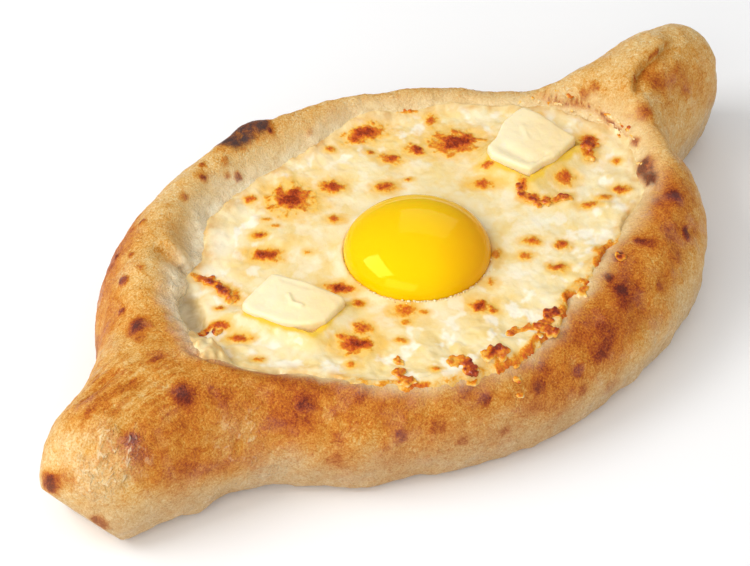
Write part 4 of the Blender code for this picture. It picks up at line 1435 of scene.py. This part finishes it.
def butter_material():
    """Cut butter starting to melt: pale cream and waxy."""
    look = settings().butter
    material, tree, place = new_material("Softening butter")
    # Painted shade: this layer deepens the butter's colour towards the cook's right, away from the lights.
    fat = add(tree, "ShaderNodeAttribute", out="Fac", attribute_name="fat")
    cloud = add(tree, "ShaderNodeTexNoise", {"Vector": place, "Scale": per(6), "Detail": 3.0})
    cloud = add(tree, "ShaderNodeMath", {0: cloud, 1: 0.4, 2: fat}, operation="MULTIPLY_ADD")
    smear = add(tree, "ShaderNodeTexNoise", {
        "Vector": place, "Scale": per(1.6), "Detail": 3.0, "Distortion": 1.2,
    })
    colour = add(tree, "ShaderNodeMix", {
        0: cloud, 6: (*look.pale_colour, 1), 7: (*look.colour, 1),
    }, out=2, data_type="RGBA")
    rough = add(tree, "ShaderNodeMapRange", {
        "Value": smear, "From Min": 0.3, "From Max": 0.7, "To Min": 0.30, "To Max": 0.48,
    })
    bump = add(tree, "ShaderNodeBump", {"Height": smear, "Strength": 0.25, "Distance": 0.0003})
    surface = add(tree, "ShaderNodeBsdfPrincipled", {
        "Base Color": colour, "Roughness": rough, "Normal": bump,
        "IOR": 1.46,
        "Subsurface Weight": 0.4, "Subsurface Radius": (1.0, 0.8, 0.35), "Subsurface Scale": 0.003,
    })
    add(tree, "ShaderNodeOutputMaterial", {"Surface": surface})
    return material


def pat_block(node):
    """A pat's outline, drawn up to the thickness of its node."""
    low, high = (corner.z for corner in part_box(node))
    ring = np.array(PAT_OUTLINES[node])
    steps = np.hypot(*(np.roll(ring, -1, axis=0) - ring).T)
    along = np.concatenate([[0], np.cumsum(steps)])
    closed = np.vstack([ring, ring[:1]])
    shapes = bmesh.new()
    bmesh.ops.create_circle(shapes, segments=144, radius=1.0, cap_ends=True)
    for i, point in enumerate(shapes.verts):
        at = along[-1] * i / len(shapes.verts)
        point.co = (np.interp(at, along, closed[:, 0]) * MM, np.interp(at, along, closed[:, 1]) * MM, low)
    made = bmesh.ops.extrude_face_region(shapes, geom=shapes.faces)["geom"]
    top = [g for g in made if isinstance(g, bmesh.types.BMVert)]
    bmesh.ops.translate(shapes, verts=top, vec=(0, 0, high - low))
    bmesh.ops.recalc_face_normals(shapes, faces=shapes.faces)
    return to_mesh(shapes, node)


def make_pat(node, name, material):
    """One soft pat: its block remeshed, rounded, slumped at the foot, marked by the knife, with painted
    shade to the right.
    """
    look = settings().butter
    mesh = remeshed(pat_block(node), look.voxel)
    relax(mesh, 24)
    points = points_of(mesh)
    normals = normals_of(mesh)
    middle = np.mean(PAT_OUTLINES[node], axis=0)
    low, high = (corner.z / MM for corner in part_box(node))
    share = np.clip((points[:, 2] - low) / (high - low), 0, 1)
    spread = look.slump / MM * (1 - share) ** 2
    aside = points[:, :2] - middle
    aside /= np.maximum(np.hypot(*aside.T), 0.1)[:, None]
    near = 0.35 + 0.65 * smooth(-0.4, 0.6, nearer(aside, (0, 0)))
    points[:, :2] += aside * (spread * near)[:, None]
    uneven = 0.16 * waves(points, 5, 2, seed=41) + 0.06 * waves(points, 1.8, 2, seed=42)
    points += uneven[:, None] * normals
    upper = smooth(0.5, 0.9, share)
    for path, rise, width in KNIFE_MARKS[node]:
        points[:, 2] += rise * upper * bell(from_path(flat(points), path), width)
    move_points(mesh, points)
    # Painted shade: deeper colour towards the cook's right.
    paint(mesh, fat=0.6 * smooth(-9, 12, rightward(points, middle)))
    return mesh_piece(name, mesh, material)


# ---------------------------------------------------------------- stage

# The even light is strongest from this side, which is above and near, and weakest from the far side.
AIR_SIDE = (-0.50, -0.62, 0.60)

# Softboxes: name, the way to it, distance, width and height in metres, and the setting of its power.
SOFTBOXES = [
    ("Key softbox", (-0.576, 0.404, 0.708), 0.95, 0.62, 0.45, "key"),
    ("Left softbox", (-0.80, -0.30, 0.50), 1.20, 0.90, 0.60, "fill"),
    ("Back softbox", (0.62, 0.45, 0.64), 1.10, 0.60, 0.60, "back"),
]

# The camera: what it looks at, its distance in metres, the way round and up to it in degrees, and its lens.
CAMERA_AIM = (-0.0142, -0.0001, 0.0200)
CAMERA_DISTANCE = 0.750
CAMERA_AZIMUTH = -44.66
CAMERA_ELEVATION = 42.70
CAMERA_LENS = 129.1


def make_floor():
    """A plain pale floor under the bread."""
    material, tree, place = new_material("Matt white paper")
    fibre = add(tree, "ShaderNodeTexNoise", {"Vector": place, "Scale": per(3), "Detail": 2.0})
    rough = add(tree, "ShaderNodeMapRange", {"Value": fibre, "To Min": 0.8, "To Max": 0.95})
    surface = add(tree, "ShaderNodeBsdfPrincipled", {
        "Base Color": (*settings().stage.floor_colour, 1), "Roughness": rough,
        "Specular IOR Level": 0.2,
    })
    add(tree, "ShaderNodeOutputMaterial", {"Surface": surface})
    shapes = bmesh.new()
    bmesh.ops.create_grid(shapes, x_segments=1, y_segments=1, size=4.0)
    bmesh.ops.translate(shapes, verts=shapes.verts, vec=(0, 0, -0.0002))
    return mesh_piece("studio_floor", to_mesh(shapes, "floor"), material)


def make_air():
    """Soft light from all round, strongest from one side."""
    look = settings().stage
    world = bpy.data.worlds.new("Studio air")
    world.use_nodes = True
    tree = world.node_tree
    tree.nodes.clear()
    ways = add(tree, "ShaderNodeTexCoord", out="Generated")
    facing = add(tree, "ShaderNodeVectorMath", {0: ways, 1: AIR_SIDE}, out="Value", operation="DOT_PRODUCT")
    strength = add(tree, "ShaderNodeMapRange", {
        "Value": facing, "From Min": -0.6, "From Max": 0.7,
        "To Min": look.air * 0.30, "To Max": look.air * 1.60,
    }, interpolation_type="SMOOTHSTEP")
    air = add(tree, "ShaderNodeBackground", {"Color": (1.0, 1.0, 1.0, 1.0), "Strength": strength})
    add(tree, "ShaderNodeOutputWorld", {"Surface": air})
    bpy.context.scene.world = world


def add_softbox(name, direction, distance, wide, high, power):
    """A rectangular softbox that points at the bread."""
    lamp = bpy.data.lights.new(name, "AREA")
    lamp.shape = "RECTANGLE"
    lamp.size = wide
    lamp.size_y = high
    lamp.energy = power
    box = bpy.data.objects.new(name, lamp)
    box.location = Vector(direction).normalized() * distance
    box.rotation_euler = box.location.to_track_quat("Z", "Y").to_euler()
    bpy.context.scene.collection.objects.link(box)


def add_camera():
    """Looks down on the near left side of the bread."""
    azimuth, elevation = math.radians(CAMERA_AZIMUTH), math.radians(CAMERA_ELEVATION)
    back = Vector((
        math.sin(azimuth) * math.cos(elevation),
        -math.cos(azimuth) * math.cos(elevation),
        math.sin(elevation),
    ))
    lens = bpy.data.cameras.new("Camera")
    lens.lens = CAMERA_LENS
    lens.sensor_width = 36.0
    lens.clip_start = 0.01
    camera = bpy.data.objects.new("Camera", lens)
    camera.location = Vector(CAMERA_AIM) + back * CAMERA_DISTANCE
    camera.rotation_euler = back.to_track_quat("Z", "Y").to_euler()
    bpy.context.scene.collection.objects.link(camera)
    bpy.context.scene.camera = camera


# ---------------------------------------------------------------- settings

def colour_setting(name, description, hex_colour):
    """A colour that the panel holds."""
    return FloatVectorProperty(
        name=name, description=description, default=linear(hex_colour), subtype="COLOR", size=3,
        min=0, max=1,
    )


def length_setting(name, description, metres, least=0.0):
    """A length that the panel holds."""
    return FloatProperty(name=name, description=description, default=metres, min=least, unit="LENGTH")


def share_setting(name, description, value):
    """A strength or a scale that the panel holds."""
    return FloatProperty(name=name, description=description, default=value, min=0)


class CrustSettings(bpy.types.PropertyGroup):
    voxel: length_setting("Mesh spacing", "Distance between the points of the crust's mesh", 0.00095, 0.0005)
    blotches: share_setting("Blotches", "How strongly browning varies over a centimetre or so", 0.26)
    mottle: share_setting("Mottle", "How strongly browning varies over a few millimetres", 0.54)
    grain: share_setting("Grain", "How strongly browning varies over less than a millimetre", 0.85)
    # The pores show only where painted shade lies: low on the sides, in the pit and in the hollows.
    pore_colour: colour_setting("Pores", "Colour in the tiny pores of the floury dough", "#7a5530")
    film_colour: colour_setting(
        "Film", "Colour of the whitish film that the cheese leaves on the crust beside it", "#f6eacb",
    )
    # The flakes are partly real glaze and partly painted glints on the wet wrinkles.
    flake_and_glint_colour: colour_setting("Flakes", "Colour of the loose, whitish flakes of egg glaze", "#fbe3b2")
    char_colour: colour_setting("Char", "Colour of the burnt blisters", "#523a35")


class CheeseSettings(bpy.types.PropertyGroup):
    spacing: length_setting(
        "Mesh spacing", "Distance between the points of the cheese's surface", 0.00047, 0.0003,
    )
    level: length_setting("Level", "Height of the melted surface", 0.0297)
    tuck: length_setting("Tuck", "How far the cheese reaches past its outline", 0.008)
    hidden: length_setting("Hidden edge", "Lowest height of the surface's edge inside the crust", 0.022)
    banked: length_setting(
        "Banked", "How high the cheese is banked against the near side of the butter", 0.0024,
    )
    pit: length_setting("Pit", "Depth of the pit where the left fold parts from the rim", 0.0034)
    curd_colour: colour_setting("Curds", "Colour of the whiter curds", "#fbf1d8")
    stain_colour: colour_setting("Stains", "Colour where the cheese has just begun to brown", "#efba48")
    oil_colour: colour_setting("Melted butter", "Colour of the cheese soaked in melted butter", "#eec236")


class YolkSettings(bpy.types.PropertyGroup):
    colour: colour_setting("Yolk", "Main colour of the yolk", "#fdcb00")
    # The deep colour is painted shade on the yolk's right side.
    shaded_colour: colour_setting("Deep yolk", "Colour of its thicker places", "#f4ac00")
    bubbles: IntProperty(name="Bubbles", description="How many bubbles of egg white", default=90, min=1)


class CurdSettings(bpy.types.PropertyGroup):
    voxel: length_setting("Mesh spacing", "Distance between the points of the curds' mesh", 0.00034, 0.0002)
    growth: share_setting("Growth", "Scale of every curd", 1.2)


class ButterSettings(bpy.types.PropertyGroup):
    # The main colour shows most on the pats' right, where painted shade lies, and the pale colour on their
    # lit left.
    colour: colour_setting("Butter", "Main colour of the butter", "#f8d99a")
    pale_colour: colour_setting("Pale butter", "Colour of its paler places", "#feefc9")
    voxel: length_setting("Mesh spacing", "Distance between the points of a pat's mesh", 0.00036, 0.0002)
    slump: length_setting("Slump", "How far the foot of a pat has spread", 0.0003)


class StageSettings(bpy.types.PropertyGroup):
    floor_colour: colour_setting("Floor", "Colour of the floor", "#fafafa")
    air: share_setting("Air", "Strength of the even light all round", 0.48)
    key: share_setting("Key light", "Power of the main softbox in watts", 4.9)
    fill: share_setting("Fill light", "Power of the left softbox in watts", 3.4)
    back: share_setting("Back light", "Power of the far softbox in watts", 0.6)


class BreadSettings(bpy.types.PropertyGroup):
    crust: PointerProperty(type=CrustSettings)
    cheese: PointerProperty(type=CheeseSettings)
    curds: PointerProperty(type=CurdSettings)
    yolk: PointerProperty(type=YolkSettings)
    butter: PointerProperty(type=ButterSettings)
    stage: PointerProperty(type=StageSettings)


# ---------------------------------------------------------------- operators

class BREAD_OT_crust(bpy.types.Operator):
    """Make the baked crust"""

    bl_idname = "bread.crust"
    bl_label = "Crust"

    def execute(self, context):
        crust = make_crust()
        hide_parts("crust")
        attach(crust, "root")
        return {"FINISHED"}


class BREAD_OT_cheese(bpy.types.Operator):
    """Make the melted cheese"""

    bl_idname = "bread.cheese"
    bl_label = "Cheese"

    def execute(self, context):
        cheese = make_cheese()
        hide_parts("cheese")
        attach(cheese, "root")
        return {"FINISHED"}


class BREAD_OT_curds(bpy.types.Operator):
    """Make the raised, toasted curds"""

    bl_idname = "bread.curds"
    bl_label = "Toasted curds"

    def execute(self, context):
        curds = make_curds()
        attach(curds, "root")
        return {"FINISHED"}


class BREAD_OT_bubbles(bpy.types.Operator):
    """Make the bubbles of egg white"""

    bl_idname = "bread.bubbles"
    bl_label = "Egg white bubbles"

    def execute(self, context):
        bubbles = make_bubbles()
        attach(bubbles, "root")
        return {"FINISHED"}


class BREAD_OT_yolk(bpy.types.Operator):
    """Make the egg yolk"""

    bl_idname = "bread.yolk"
    bl_label = "Egg yolk"

    def execute(self, context):
        yolk = make_yolk()
        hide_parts("yolk")
        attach(yolk, "root")
        return {"FINISHED"}


class BREAD_OT_butter(bpy.types.Operator):
    """Make both pats of butter"""

    bl_idname = "bread.butter"
    bl_label = "Butter"

    def execute(self, context):
        material = butter_material()
        for node, name in (("butter_front", "butter_pat_front"), ("butter_back", "butter_pat_back")):
            pat = make_pat(node, name, material)
            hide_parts(node)
            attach(pat, "root")
        return {"FINISHED"}


class BREAD_OT_stage(bpy.types.Operator):
    """Make the floor, the lights and the camera"""

    bl_idname = "bread.stage"
    bl_label = "Stage"

    def execute(self, context):
        floor = make_floor()
        make_air()
        for *box, power in SOFTBOXES:
            add_softbox(*box, getattr(settings().stage, power))
        context.scene.view_settings.view_transform = "Standard"
        add_camera()
        return {"FINISHED"}


class BREAD_PT_panel(bpy.types.Panel):
    bl_idname = "BREAD_PT_panel"
    bl_label = "Cheese bread"
    bl_space_type = "VIEW_3D"
    bl_region_type = "UI"
    bl_category = "Bread"

    def draw(self, context):
        for name in OPERATORS:
            self.layout.operator(f"bread.{name}")


OPERATORS = ("stage", "crust", "cheese", "curds", "yolk", "bubbles", "butter")
CLASSES = (
    CrustSettings, CheeseSettings, CurdSettings, YolkSettings, ButterSettings, StageSettings, BreadSettings,
    BREAD_OT_stage, BREAD_OT_crust, BREAD_OT_cheese, BREAD_OT_curds, BREAD_OT_yolk, BREAD_OT_bubbles,
    BREAD_OT_butter, BREAD_PT_panel,
)


def register():
    for cls in CLASSES:
        bpy.utils.register_class(cls)
    bpy.types.Scene.bread_settings = PointerProperty(type=BreadSettings)


def unregister():
    del bpy.types.Scene.bread_settings
    for cls in reversed(CLASSES):
        bpy.utils.unregister_class(cls)


def main():
    register()
    for name in OPERATORS:
        getattr(bpy.ops.bread, name)()


if __name__ == "__main__":
    main()
